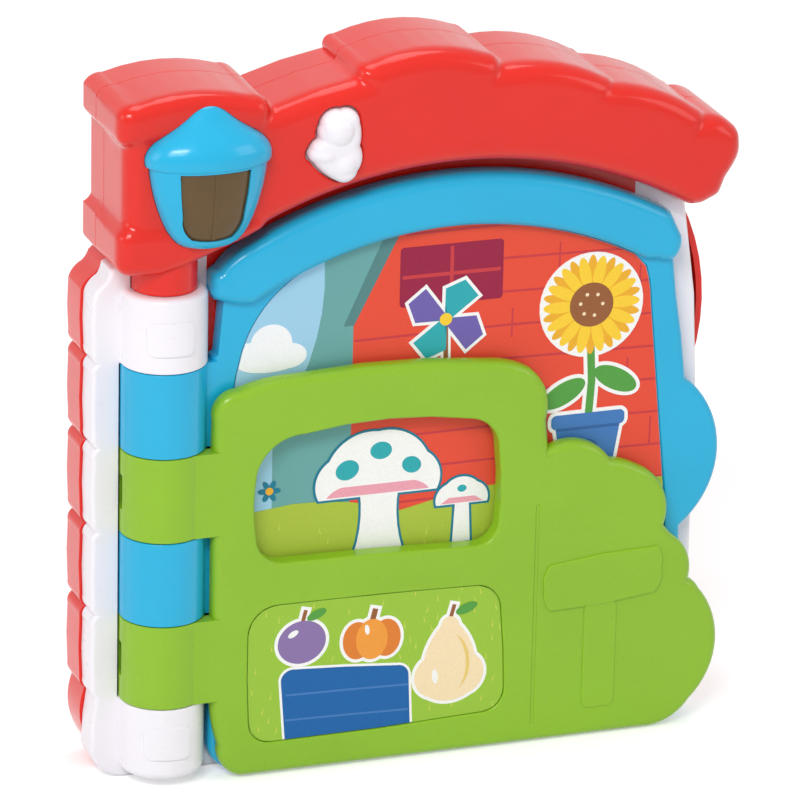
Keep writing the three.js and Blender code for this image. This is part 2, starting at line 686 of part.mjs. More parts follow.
const boardLoop = roundRect(-10, 76, archTop + 0.5, archTop + 21, 2, 2);
const board = cut(
  plate(boardLoop, boardFront, boardFront + 1.6),
  ...boardPosts.map(([x, z]) => pin(x, z, 1.1 + GAP / 2, -1, 3, 8)),
);
place('circuit_board', board, 0x2d7a4a, 0.5);
const lampZ = archTop + 3.2;
place('lamp_led', join(
  plate(disc(LANTERN_X, lampZ, 2.5, 14), -9, -2.5, 2, 0, 3),
  pin(LANTERN_X, lampZ, 2.9, -3, boardFront - 0.1, 14),
), 0xfff2c8, 0.2, 0, 0.8);
const stemZ = birdZ - 3;
const switchTop = -4.2;
place('button_switch', join(
  block(BIRD_X - 3, BIRD_X + 3, switchTop + 0.8, boardFront - 0.1, stemZ - 3, stemZ + 3),
  pin(BIRD_X, stemZ, 1.6, switchTop, switchTop + 1.2, 10),
), 0x2a2a2c, 0.45);

// Bird-shaped press button, kept in by a flange behind the roof wall
const flangeY = ROOF_FRONT + WALL + GAP;
const bird = join(
  plate(birdLoop, ROOF_FRONT - BIRD_PROUD, flangeY + 1, 4, 0, 3),
  plate(shrink(birdLoop, -1.4), flangeY, flangeY + 1.4),
  ball(BIRD_X + 0.4, ROOF_FRONT - BIRD_PROUD + 3.2, birdZ + 6.4, 6.4, 5.2, 6.4),
  pin(BIRD_X, stemZ, 2.4, flangeY, switchTop - 0.1 - BIRD_TRAVEL, 12),
);
place('bird_button', bird, WHITE, 0.4);

// Blue inner page
const blueArch = ARCH_R - 5.3;
const shoulder = archFoot - 12;
const eave = [[24.5, columnTop + 11], [19.8, columnTop + 7.2], [15.4, columnTop + 1, 1.4, 3]];
const blueLoop = outline([PAGE_LEFT + 11, PAGE_BOTTOM], [
  [BLUE_RIGHT - 12, PAGE_BOTTOM],
  corner(BLUE_RIGHT, PAGE_BOTTOM + 12, 12),
  [BLUE_RIGHT, 78],
  [BLUE_RIGHT, 137, 14.3, 10],
  [197.2, shoulder - 23, 0.4, 2],
  [195.6, shoulder - 9],
  [197.2, shoulder, 0.6, 2],
  ...archRun(blueArch, 192.5, 30, 12),
  ...eave,
  [17.4, columnTop - 4, 0.8, 2],
  [PAGE_LEFT + 0.2, columnTop - 7],
  [PAGE_LEFT, PAGE_BOTTOM + 11],
  corner(PAGE_LEFT + 11, PAGE_BOTTOM, 11),
]);
const blueBack = BLUE_FRONT + BLUE_THICK;
const bandLoop = outline([188, shoulder - 8], [
  [194.6, shoulder - 8.6],
  [197.2, shoulder, 0.6, 2],
  ...archRun(blueArch, 192.5, 30, 12),
  ...eave,
  [18.4, columnTop - 5, 0.8, 2],
  [31, columnTop - 7],
  ...archRun(blueArch - BAND_WIDTH, 36, 183, 11),
]);
const bluePicture = outline([34, 12], [
  [184, 12],
  corner(195, 23, 11),
  [195.2, 89],
  [187, shoulder - 25],
  [184.5, shoulder - 11, 0.5, 2],
  ...archRun(blueArch - BAND_WIDTH, 180, 38, 10),
  [26, columnTop - 13, 2, 3],
  [24, columnTop - 31],
  [24, 22],
  corner(34, 12, 10),
]);
const pageRing = (i) => post(COLUMN_R, seam(i) + split, seam(i + 1) - split);
const arm = (i, y0, y1) => block(4, PAGE_LEFT + 2, y0, y1, seam(i) + split, seam(i + 1) - split);
const sweep = COLUMN_R + GAP + 0.2;
let bluePage = cut(
  join(
    plate(blueLoop, BLUE_FRONT, blueBack, PAGE_ROUND, 1.2, 2),
    plate(bandLoop, BAND_FRONT, BLUE_FRONT + 3, 3.4, 0, 2),
  ),
  post(sweep, -1, REACH),
  plate(bluePicture, BAND_FRONT - 2, BLUE_FRONT + POCKET),
  plate(bluePicture, blueBack - POCKET, blueBack + 1),
);
bluePage = cut(
  join(bluePage, ...[1, 3].flatMap((i) => [pageRing(i), arm(i, BLUE_FRONT + 1, blueBack - 0.6)])),
  post(ROD_R + GAP, -1, REACH, 16),
);
place('blue_page', bluePage, BLUE, 0.35);
const blueCard = shrink(bluePicture, GAP);
const seated = POCKET - split;
place('blue_front_card', plate(blueCard, BLUE_FRONT + seated - CARD, BLUE_FRONT + seated), 0xe85b58, 0.55);
place('blue_back_card', plate(blueCard, blueBack - seated, blueBack - seated + CARD), 0x8cc7e8, 0.55);

// Green cover page: window, picture recess and a bush with a signpost in relief
const greenBack = GREEN_FRONT + GREEN_THICK;
const greenLoop = outline([27, PAGE_BOTTOM], [
  [186, PAGE_BOTTOM - 0.4],
  [205.6, 9.6, 3, 4],
  [207.9, 54.6, 9, 8],
  [203.4, 58.8, 0.6, 2],
  [198.4, 75.6, 2.6, 5],
  [192.8, 81.8, -0.4, 2],
  [181.5, 106.6, 5.4, 6],
  [170.4, 110.4, 0.6, 2],
  [145.6, 117.4, 5, 6],
  [144.4, 129],
  [137.4, 149.6, 3.4, 5],
  [124, 154, 0.8, 2],
  [47, 156, 2.2, 6],
  [22.9, 151.2, 1, 3],
  [13.4, 140, 3, 4],
  [15.6, 128, -0.6, 2],
  [15.6, 34],
  [18.6, 14, 0.8, 3],
  [27, PAGE_BOTTOM, 3, 4],
]);
const windowThrough = outline([42, 84.4], [
  [117, 82.4, -0.4, 2],
  [126, 90, 2.4, 4],
  [125.6, 120, 1, 3],
  [115, 132.6, 3, 4],
  [50, 133.6, 3, 6],
  [32, 120, 4, 4],
  [32, 95, 1, 3],
  [42, 84.4, 2.8, 4],
]);
const panelRecess = outline([38, 13.6], [
  [122, 15.2, 0.6, 2],
  [130, 24, 2.4, 3],
  [128, 56, 0.4, 2],
  [119, 66.6, 2.6, 3],
  [40, 68, 0.4, 3],
  [29, 57, 3, 3],
  [29.6, 22, 0.4, 2],
  [38, 13.6, 2.4, 3],
]);
const backRecess = roundRect(30, 128, 13, 68, 8, 3);
const signBoard = outline([147, 53], [
  [189, 56, 1, 2],
  [191.5, 66, 1.4, 2],
  [190, 74.5, 1, 2],
  [147, 71.5, 1, 2],
  [144.6, 62, 1.4, 2],
  [147, 53, 1, 2],
]);
const signPost = roundRect(161, 174, 12, 55, 3, 2);
let greenPage = cut(
  join(
    plate(greenLoop, GREEN_FRONT, greenBack, PAGE_ROUND + 0.6, 1.2, 2),
    plate(signPost, GREEN_FRONT - 0.6, GREEN_FRONT + 1, 0.5, 0, 1),
    plate(signBoard, GREEN_FRONT - 1, GREEN_FRONT + 1, 0.8, 0, 1),
  ),
  post(sweep, -1, REACH),
  plate(windowThrough, GREEN_FRONT - 2, greenBack + 2),
  plate(panelRecess, GREEN_FRONT - 2, GREEN_FRONT + POCKET),
  plate(backRecess, greenBack - POCKET, greenBack + 1),
  block(141, 142, GREEN_FRONT - 2, GREEN_FRONT + 0.7, 8, 96),
);
greenPage = cut(
  join(greenPage, ...[0, 2].flatMap((i) => [pageRing(i), arm(i, GREEN_FRONT, greenBack - 0.6)])),
  post(ROD_R + GAP, -1, REACH, 16),
);
place('green_page', greenPage, GREEN, 0.38);
place('cover_card', plate(
  shrink(panelRecess, GAP), GREEN_FRONT + seated - CARD, GREEN_FRONT + seated), 0x9ccf4a, 0.55);
place('cover_back_card', plate(
  shrink(backRecess, GAP), greenBack - seated, greenBack - seated + CARD), 0x8cc7e8, 0.55);

// Screws, speaker, cells, door and power switch in the back of the case
CASE_SCREWS.forEach(([x, z], i) => place(
  `case_screw_${i + 1}`, screw(x, z, SCREW_SEAT, CASE_FRONT + 5.4), 0xa9acb0, 0.35, 1));
ROOF_SCREWS.forEach(([x, z], i) => place(
  `roof_screw_${i + 1}`, screw(x, z, SCREW_SEAT, 1), 0xa9acb0, 0.35, 1));

const speakerY = CASE_BACK - WALL - GAP;
place('speaker', join(
  plate(disc(SPEAKER_X, SPEAKER_Z, SPEAKER_R, 22), speakerY - 3, speakerY),
  plate(disc(SPEAKER_X, SPEAKER_Z, SPEAKER_R * 0.46, 20), speakerY - 7, speakerY - 2, 0.6, 0, 1),
), 0x55585c, 0.5, 0.3);

const cellY = bayFloor + 1.4 + CELL_R + GAP;
const cellRow = (i) => cellBayZ0 + 0.6 + CELL_R + i * (2 * CELL_R + 0.4);
function cell(i) {
  const across = turned([
    [-CELL_L / 2, CELL_R * 0.94],
    [-CELL_L / 2 + 0.6, CELL_R],
    [CELL_L / 2 - 1.8, CELL_R],
    [CELL_L / 2 - 1.2, CELL_R * 0.9],
    [CELL_L / 2 - 1.19, 2.6],
    [CELL_L / 2, 2.6],
  ], 16);
  return across.rotate([0, i % 2 === 0 ? 90 : -90, 0]).translate([DOOR_X, cellY, cellRow(i)]);
}
place('cell_1', cell(0), 0x3a3d42, 0.4, 0.4);
place('cell_2', cell(1), 0x3a3d42, 0.4, 0.4);
const contact = (x, z0, z1) => block(x - 0.25, x + 0.25, cellY - 5, cellY + 5, z0, z1);
const wide = CELL_R - 1.4;
place('contact_link', contact(cellBayX1 - 0.6, cellRow(0) - wide, cellRow(1) + wide), 0xc9c9c4, 0.3, 1);
place('contact_low', contact(cellBayX0 + 0.6, cellRow(0) - wide, cellRow(0) + wide), 0xc9c9c4, 0.3, 1);
place('contact_high', contact(cellBayX0 + 0.6, cellRow(1) - wide, cellRow(1) + wide), 0xc9c9c4, 0.3, 1);

const doorSkin = plate(
  roundRect(doorX0 + GAP, doorX1 - GAP, doorZ0 + GAP, doorZ1 - GAP, 1.5, 2),
  CASE_BACK - 2 + split, CASE_BACK);
const doorLines = [];
for (let i = 0; i < 4; i += 1) {
  doorLines.push(block(DOOR_X - 9, DOOR_X + 9, CASE_BACK - 0.5, CASE_BACK + 1, doorZ0 + 5 + i * 2.4, doorZ0 + 6.1 + i * 2.4));
}
place('battery_door', cut(
  join(doorSkin, pin(DOOR_X, doorScrewZ, DOOR_BOSS_R, CASE_BACK - 5, CASE_BACK - 1, 10)),
  ...doorLines,
  pin(DOOR_X, doorScrewZ, SCREW_R + GAP, CASE_BACK - 6, CASE_BACK + 1, 10),
  pin(DOOR_X, doorScrewZ, SCREW_HEAD_R + GAP, CASE_BACK - 3, CASE_BACK + 1, 10),
), RED);
place('door_screw', screw(DOOR_X, doorScrewZ, CASE_BACK - 3, CASE_BACK - 10, SCREW_HEAD_R, SCREW_R), 0xa9acb0, 0.35, 1);

const sliderBack = CASE_BACK - WALL - 1.8;
place('power_slider', join(
  block(SWITCH_X - 5, SWITCH_X - 1, CASE_BACK - WALL - 1, CASE_BACK + 0.6, SWITCH_Z - 1.6, SWITCH_Z + 1.6),
  block(SWITCH_X - 10, SWITCH_X + 4, sliderBack, CASE_BACK - WALL - GAP, SWITCH_Z - 3.4, SWITCH_Z + 3.4),
), 0x2a2a2c, 0.5);
const switchBody = cut(
  join(
    block(SWITCH_X - 11, SWITCH_X + 11, sliderBack - GAP - 4.6, sliderBack - GAP, SWITCH_Z - 4.5, SWITCH_Z + 4.5),
    block(SWITCH_X - 17, SWITCH_X + 17, sliderBack - GAP - 1.2, sliderBack - GAP, SWITCH_Z - 3, SWITCH_Z + 3),
  ),
  ...switchPosts.map((x) => pin(x, SWITCH_Z, 1 + GAP / 2, sliderBack - 3, sliderBack + 1, 8)),
);
place('slide_switch', switchBody, 0x35363a, 0.5);

// Bottom centre of the whole piece at the origin
const box = new THREE.Box3().setFromObject(root);
const shift = new THREE.Vector3(-(box.min.x + box.max.x) / 2, -(box.min.y + box.max.y) / 2, -box.min.z);
root.children.forEach((mesh) => mesh.position.copy(shift));

export default root;
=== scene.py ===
"""Standing barn-shaped book in moulded plastic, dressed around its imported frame.

Sizes are millimetres in the column frame of the page rod (x right, y back, z up, rod at x = 0, y = 0) and
turn into metres of the row frame when a piece is placed.
"""

import json
import logging
import math
import random
from dataclasses import dataclass, field
from enum import Enum
from typing import Callable, Iterable, Sequence

import bmesh
import bpy
import numpy as np
from mathutils import Matrix, Vector


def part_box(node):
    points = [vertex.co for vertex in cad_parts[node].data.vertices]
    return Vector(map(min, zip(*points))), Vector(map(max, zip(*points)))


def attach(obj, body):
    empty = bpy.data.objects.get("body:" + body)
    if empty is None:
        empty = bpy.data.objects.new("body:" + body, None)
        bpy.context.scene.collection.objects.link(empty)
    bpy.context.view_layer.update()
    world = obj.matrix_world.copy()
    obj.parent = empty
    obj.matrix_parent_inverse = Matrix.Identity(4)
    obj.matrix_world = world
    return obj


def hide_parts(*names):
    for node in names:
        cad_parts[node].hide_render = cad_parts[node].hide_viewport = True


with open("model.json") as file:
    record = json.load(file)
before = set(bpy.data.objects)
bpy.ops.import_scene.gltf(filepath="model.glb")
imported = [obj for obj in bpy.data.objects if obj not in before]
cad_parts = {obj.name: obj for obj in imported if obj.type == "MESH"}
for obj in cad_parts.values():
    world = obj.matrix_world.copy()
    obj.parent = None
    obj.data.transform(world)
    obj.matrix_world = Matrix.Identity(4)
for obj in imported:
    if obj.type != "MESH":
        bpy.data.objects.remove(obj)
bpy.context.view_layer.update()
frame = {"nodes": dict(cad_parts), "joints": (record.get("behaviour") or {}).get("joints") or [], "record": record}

MM = 0.001
GAP = 0.3
SPLIT = GAP / 2
WALL = 2.4
CARD = 0.6
RECESS = 1.4
WHOLE_CARD = [(10, 0), (210, 0), (210, 240), (10, 240)]
REACH = 400.0
SMOOTH_ANGLE = math.radians(34.0)
FLOOR_LIFT = 0.36
FLOOR_ROUGHNESS = (0.88, 0.93)

Point = tuple[float, float]
Leg = tuple[float, ...]
Colour = tuple[float, float, float]
log = logging.getLogger("book")


class Body(Enum):
    """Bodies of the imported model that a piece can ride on."""

    CASE = "case"
    BLUE = "blue_page"
    GREEN = "green_page"
    BUTTON = "bird_button"
    DOOR = "battery_door"
    SLIDER = "power_slider"


class Join(Enum):
    """Ways in which one solid works on another."""

    ADD = "UNION"
    CUT = "DIFFERENCE"
    KEEP = "INTERSECT"


def linear(red: int, green: int, blue: int) -> Colour:
    """Turns a colour as a screen shows it into the shader's linear values.

    Args:
        red: Red share, 0 to 255.
        green: Green share, 0 to 255.
        blue: Blue share, 0 to 255.

    Returns:
        The three linear values, 0 to 1.
    """
    shares = (red / 255, green / 255, blue / 255)
    return tuple(c / 12.92 if c <= 0.04045 else ((c + 0.055) / 1.055) ** 2.4 for c in shares)


# Outlines


def trace(start: Point, *legs: Leg, turn: float = 6.0) -> list[Point]:
    """Draws a closed loop of straight and bowed legs, anticlockwise in x and z.

    Args:
        start: First corner.
        legs: Each the next corner as x, z and, for a bowed leg, its bow; a positive bow swells outwards.
        turn: Degrees of turn in one step of a bowed leg.

    Returns:
        The corners of the loop, the first one once.
    """
    points = [start]
    x0, z0 = start
    for x1, z1, *rest in legs:
        bow = rest[0] if rest else 0.0
        if bow:
            chord = math.hypot(x1 - x0, z1 - z0)
            radius = (chord * chord / 4 + bow * bow) / (2 * abs(bow))
            inward = math.copysign(1, bow) * (abs(bow) - radius) / chord
            cx = (x0 + x1) / 2 + inward * (z1 - z0)
            cz = (z0 + z1) / 2 - inward * (x1 - x0)
            first = math.atan2(z0 - cz, x0 - cx)
            sweep = math.copysign(2 * math.asin(min(1.0, chord / 2 / radius)), bow)
            if abs(bow) > chord / 2:
                sweep = math.copysign(2 * math.pi, bow) - sweep
            steps = max(2, math.ceil(abs(math.degrees(sweep)) / turn))
            for i in range(1, steps):
                angle = first + sweep * i / steps
                points.append((cx + radius * math.cos(angle), cz + radius * math.sin(angle)))
        points.append((x1, z1))
        x0, z0 = x1, z1
    if math.hypot(points[-1][0] - start[0], points[-1][1] - start[1]) < 1e-6:
        points.pop()
    return points


def quarter(x: float, z: float, radius: float) -> Leg:
    """Gives the leg of a quarter-turn corner that ends at x, z."""
    return (x, z, radius * (1 - math.sqrt(0.5)))


def round_rect(x0: float, x1: float, z0: float, z1: float, radius: float) -> list[Point]:
    """Draws a rectangle with rounded corners.

    Args:
        x0: Left side.
        x1: Right side.
        z0: Lower side.
        z1: Upper side.
        radius: Corner radius.

    Returns:
        The corners of the loop.
    """
    return trace(
        (x0 + radius, z0), (x1 - radius, z0), quarter(x1, z0 + radius, radius), (x1, z1 - radius),
        quarter(x1 - radius, z1, radius), (x0 + radius, z1),
        quarter(x0, z1 - radius, radius), (x0, z0 + radius),
        quarter(x0 + radius, z0, radius), turn=10.0,
    )


def oval(x: float, z: float, rx: float, rz: float = 0.0, tilt: float = 0.0, sides: int = 40) -> list[Point]:
    """Draws an ellipse.

    Args:
        x: Centre.
        z: Centre.
        rx: Half width.
        rz: Half height, or 0 for a circle.
        tilt: Degrees that it is turned anticlockwise.
        sides: Number of corners.

    Returns:
        The corners of the loop.
    """
    rz = rz or rx
    c, s = math.cos(math.radians(tilt)), math.sin(math.radians(tilt))
    loop = []
    for i in range(sides):
        a = (i + 0.5) * 2 * math.pi / sides
        px, pz = rx * math.cos(a), rz * math.sin(a)
        loop.append((x + c * px - s * pz, z + s * px + c * pz))
    return loop


def nudge(points: np.ndarray, depth: float) -> np.ndarray:
    """Moves every corner inwards along the mean of its two sides.

    Args:
        points: Corners, one row each.
        depth: Distance, negative for outwards.

    Returns:
        The moved corners.
    """
    before = points - np.roll(points, 1, axis=0)
    after = np.roll(points, -1, axis=0) - points
    before /= np.linalg.norm(before, axis=1, keepdims=True)
    after /= np.linalg.norm(after, axis=1, keepdims=True)
    total = before + after
    normal = np.stack([-total[:, 1], total[:, 0]], axis=1)
    size = np.linalg.norm(normal, axis=1, keepdims=True)
    return points + depth * normal / size / np.maximum(0.5, size / 2)


def inset_chain(loop: Sequence[Point], depths: Sequence[float], stride: float = 0.35) -> list[np.ndarray]:
    """Moves a loop inwards by stages; corners that meet travel on as one, so every stage keeps its count.

    Args:
        loop: Corners to start from.
        depths: Rising distances, all of one sign.
        stride: Longest single move.

    Returns:
        One array of corners for each depth.
    """
    points = np.array(loop, float)
    owner = np.arange(len(points))
    stages = []
    reached = 0.0
    for depth in depths:
        steps = max(1, math.ceil(abs(depth - reached) / stride))
        for _ in range(steps if depth != reached else 0):
            moved = nudge(points, (depth - reached) / steps)
            ahead = np.roll(moved, -1, axis=0) - moved
            along = (ahead * (np.roll(points, -1, axis=0) - points)).sum(axis=1)
            gone = (along <= 0) | (np.linalg.norm(ahead, axis=1) < 0.04)
            count = len(points)
            first = int(np.argmin(gone)) + 1
            groups: list[list[int]] = []
            target = np.zeros(count, int)
            for k in range(count):
                i = (first + k) % count
                if k > 0 and gone[(i - 1) % count]:
                    groups[-1].append(i)
                else:
                    groups.append([i])
                target[i] = len(groups) - 1
            points = np.array([moved[group].mean(axis=0) for group in groups])
            owner = target[owner]
        reached = depth
        stages.append(points[owner])
    return stages


def shrink(loop: Sequence[Point], depth: float) -> list[Point]:
    """Gives the inset loop (negative depth: outset) with every corner once."""
    moved = inset_chain(loop, [depth])[0]
    kept = [tuple(p) for p, q in zip(moved, np.roll(moved, 1, axis=0)) if np.hypot(*(p - q)) > 1e-7]
    return kept


# Solids


class Solid:
    """A closed mesh in millimetres that others can be joined to or cut from."""

    def __init__(self, mesh: bpy.types.Mesh) -> None:
        """Keeps the mesh.

        Args:
            mesh: The closed mesh.
        """
        self.mesh = mesh

    @classmethod
    def from_rings(cls, rings: Sequence[np.ndarray]) -> "Solid":
        """Closes a skin over a row of rings, with a flat cap on both ends.

        Args:
            rings: Arrays of corners in space, all with the same count; corners that share a place are one.

        Returns:
            The solid.
        """
        places: dict[tuple[float, float, float], int] = {}
        ids = [
            [places.setdefault(tuple(round(float(v), 5) for v in corner), len(places)) for corner in ring]
            for ring in rings
        ]
        faces = []
        count = len(rings[0])

        def add(face: Iterable[int]) -> None:
            """Keeps a face without repeated corners."""
            kept = []
            for index in face:
                if not kept or kept[-1] != index:
                    kept.append(index)
            while len(kept) > 1 and kept[0] == kept[-1]:
                kept.pop()
            if len(kept) > 2 and len(set(kept)) == len(kept):
                faces.append(kept)

        for low, high in zip(ids, ids[1:]):
            for i in range(count):
                j = (i + 1) % count
                add((low[i], high[i], high[j], low[j]))
        add(ids[0])
        add(reversed(ids[-1]))
        mesh = bpy.data.meshes.new("solid")
        mesh.from_pydata(list(places), [], faces)
        sheet = bmesh.new()
        sheet.from_mesh(mesh)
        bmesh.ops.recalc_face_normals(sheet, faces=sheet.faces)
        sheet.to_mesh(mesh)
        sheet.free()
        return cls(mesh)

    def worked(self, how: Join, tools: Sequence["Solid"]) -> "Solid":
        """Joins, cuts or keeps by other solids, one after another.

        Args:
            how: What the tools do.
            tools: The other solids.

        Returns:
            The new solid.
        """
        scene = bpy.context.scene
        base = bpy.data.objects.new("base", self.mesh)
        scene.collection.objects.link(base)
        helpers = [base]
        for tool in tools:
            helper = bpy.data.objects.new("tool", tool.mesh)
            scene.collection.objects.link(helper)
            helpers.append(helper)
            step = base.modifiers.new("work", "BOOLEAN")
            step.object = helper
            step.operation = how.value
            step.solver = "MANIFOLD"
        graph = bpy.context.evaluated_depsgraph_get()
        mesh = bpy.data.meshes.new_from_object(base.evaluated_get(graph))
        for helper in helpers:
            bpy.data.objects.remove(helper)
        return Solid(mesh)

    def plus(self, *tools: "Solid") -> "Solid":
        """Joins other solids to this one."""
        return self.worked(Join.ADD, tools)

    def minus(self, *tools: "Solid") -> "Solid":
        """Cuts other solids from this one."""
        return self.worked(Join.CUT, tools)

    def within(self, *tools: "Solid") -> "Solid":
        """Keeps only what lies inside the others."""
        return self.worked(Join.KEEP, tools)

    def beside(self, *others: "Solid") -> "Solid":
        """Puts solids that lie apart into one mesh."""
        sheet = bmesh.new()
        for solid in (self, *others):
            sheet.from_mesh(solid.mesh)
        mesh = bpy.data.meshes.new("solid")
        sheet.to_mesh(mesh)
        sheet.free()
        return Solid(mesh)

    def melted(
        self, voxel: float, rounds: int, spare: Callable[[np.ndarray], np.ndarray], back: float = 0.56
    ) -> "Solid":
        """Rebuilds the surface as an even net and softens it, as a moulded form with fillets.

        Args:
            voxel: Size of the net.
            rounds: Number of smoothing rounds.
            spare: Gives for an array of places how much each may move, 0 to 1.
            back: How far every second round swells the form again.

        Returns:
            The softened solid.
        """
        scene = bpy.context.scene
        piece = bpy.data.objects.new("melt", self.mesh)
        scene.collection.objects.link(piece)
        net = piece.modifiers.new("net", "REMESH")
        net.mode = "VOXEL"
        net.voxel_size = voxel
        graph = bpy.context.evaluated_depsgraph_get()
        mesh = bpy.data.meshes.new_from_object(piece.evaluated_get(graph))
        bpy.data.objects.remove(piece)
        count = len(mesh.vertices)
        places = np.zeros(count * 3)
        mesh.vertices.foreach_get("co", places)
        places = places.reshape(-1, 3)
        edges = np.zeros(len(mesh.edges) * 2, int)
        mesh.edges.foreach_get("vertices", edges)
        edges = edges.reshape(-1, 2)
        degree = np.bincount(edges.ravel(), minlength=count)[:, None]
        share = spare(places)[:, None]
        for turn in range(2 * rounds):
            pull = 0.55 if turn % 2 == 0 else -back
            total = np.zeros_like(places)
            np.add.at(total, edges[:, 0], places[edges[:, 1]])
            np.add.at(total, edges[:, 1], places[edges[:, 0]])
            places = places + pull * share * (total / degree - places)
        mesh.vertices.foreach_set("co", places.ravel())
        mesh.update()
        return Solid(mesh)


def levels_of(y0: float, y1: float, front: float, back: float, steps: int) -> list[tuple[float, float]]:
    """Lists depth in y and inset of each ring of a plate with rounded edges.

    Args:
        y0: Front face.
        y1: Back face.
        front: Radius of the front edge.
        back: Radius of the back edge.
        steps: Steps of a quarter turn.

    Returns:
        Pairs of y and inset, from the front.
    """
    rows = []
    for i in range(steps if front > 0 else 0):
        a = i / steps * math.pi / 2
        rows.append((y0 + front * (1 - math.cos(a)), front * (1 - math.sin(a))))
    rows += [(y0 + front, 0.0), (y1 - back, 0.0)]
    for i in reversed(range(steps if back > 0 else 0)):
        a = i / steps * math.pi / 2
        rows.append((y1 - back * (1 - math.cos(a)), back * (1 - math.sin(a))))
    return rows


def plate(
    loop: Sequence[Point], y0: float, y1: float, front: float = 0.0, back: float = 0.0, steps: int = 5
) -> Solid:
    """Makes a flat piece from a loop, its front and back edges rounded.

    Args:
        loop: Outline in x and z.
        y0: Front face.
        y1: Back face.
        front: Radius of the front edge.
        back: Radius of the back edge.
        steps: Steps of a quarter turn.

    Returns:
        The solid.
    """
    rows = levels_of(y0, y1, front, back, steps)
    wanted = sorted({depth for _, depth in rows})
    stages = dict(zip(wanted, inset_chain(loop, wanted)))
    rings = [np.insert(stages[depth], 1, y, axis=1) for y, depth in rows]
    return Solid.from_rings(rings)


def socket(loop: Sequence[Point], face: float, floor: float, lip: float, steps: int = 4) -> Solid:
    """Makes the tool that sinks a recess or hole with a rounded lip.

    Args:
        loop: Outline of the recess.
        face: y of the face that it opens in.
        floor: y of its floor; behind the face for a recess in a front face, before it for one in a back face.
        lip: Radius of the lip.
        steps: Steps of the lip's quarter turn.

    Returns:
        The cutting solid.
    """
    way = math.copysign(1.0, floor - face)
    rows = [(face - 3 * way, -lip)]
    for i in range(steps + 1):
        a = i / steps * math.pi / 2
        rows.append((face + way * lip * (1 - math.cos(a)), -lip * (1 - math.sin(a)) if i < steps else 0.0))
    rows.append((floor, 0.0))
    wanted = sorted({depth for _, depth in rows}, reverse=True)
    stages = dict(zip(wanted, inset_chain(loop, wanted)))
    rings = [np.insert(stages[depth], 1, y, axis=1) for y, depth in rows]
    return Solid.from_rings(rings)


def pin(x: float, z: float, radius: float, y0: float, y1: float, sides: int = 28, edge: float = 0.0) -> Solid:
    """Makes a round pin along y.

    Args:
        x: Centre.
        z: Centre.
        radius: Its radius.
        y0: Front end.
        y1: Back end.
        sides: Number of sides.
        edge: Radius of both its edges.

    Returns:
        The solid.
    """
    rows = levels_of(y0, y1, edge, edge, 3)
    rings = [np.insert(np.array(oval(x, z, radius - depth, sides=sides)), 1, y, axis=1) for y, depth in rows]
    return Solid.from_rings(rings)


def block(x0: float, x1: float, y0: float, y1: float, z0: float, z1: float, edge: float = 0.0) -> Solid:
    """Makes a straight-sided bar, its front and back edges rounded.

    Args:
        x0: Left side.
        x1: Right side.
        y0: Front.
        y1: Back.
        z0: Lower side.
        z1: Upper side.
        edge: Radius of the edges.

    Returns:
        The solid.
    """
    loop = round_rect(x0, x1, z0, z1, edge) if edge else [(x0, z0), (x1, z0), (x1, z1), (x0, z1)]
    return plate(loop, y0, y1, edge, edge, 3)


def ahead(y: float) -> Solid:
    """Makes the cutting block that fills everything before y."""
    return block(-REACH, REACH, -REACH, y, -REACH, REACH)


def behind(y: float) -> Solid:
    """Makes the cutting block that fills everything behind y."""
    return block(-REACH, REACH, y, REACH, -REACH, REACH)


def turned(
    rows: Sequence[Point], sides: int = 96, x: float = 0.0, y: float = 0.0, flat: float = 1.0
) -> Solid:
    """Turns a piece that stands on z.

    Args:
        rows: Pairs of z and radius, running upwards.
        sides: Number of sides.
        x: Place of the axis.
        y: Place of the axis.
        flat: Share that its depth in y keeps.

    Returns:
        The solid.
    """
    angles = -(np.arange(sides) + 0.5) * 2 * math.pi / sides
    rings = [
        np.stack([x + r * np.cos(angles), y + flat * r * np.sin(angles), np.full(sides, z)], axis=1)
        for z, r in rows
    ]
    return Solid.from_rings(rings)


def post(radius: float, z0: float, z1: float, sides: int = 96, edge: float = 0.0) -> Solid:
    """Makes a round post on the column's axis, with rounded rims.

    Args:
        radius: Its radius.
        z0: Lower end.
        z1: Upper end.
        sides: Number of sides.
        edge: Radius of the rims.

    Returns:
        The solid.
    """
    return turned([(z, radius - depth) for z, depth in levels_of(z0, z1, edge, edge, 4)], sides)


def ball(x: float, y: float, z: float, rx: float, ry: float, rz: float) -> Solid:
    """Makes an egg-like form from its centre and three half axes."""
    rows = []
    for i in range(1, 24):
        a = math.pi * (i / 24 - 0.5)
        rows.append((z + rz * math.sin(a), rx * math.cos(a)))
    return turned(rows, 48, x, y, ry / rx)


# Finishes

PATTERN_SPAN = (0.3, 0.7)


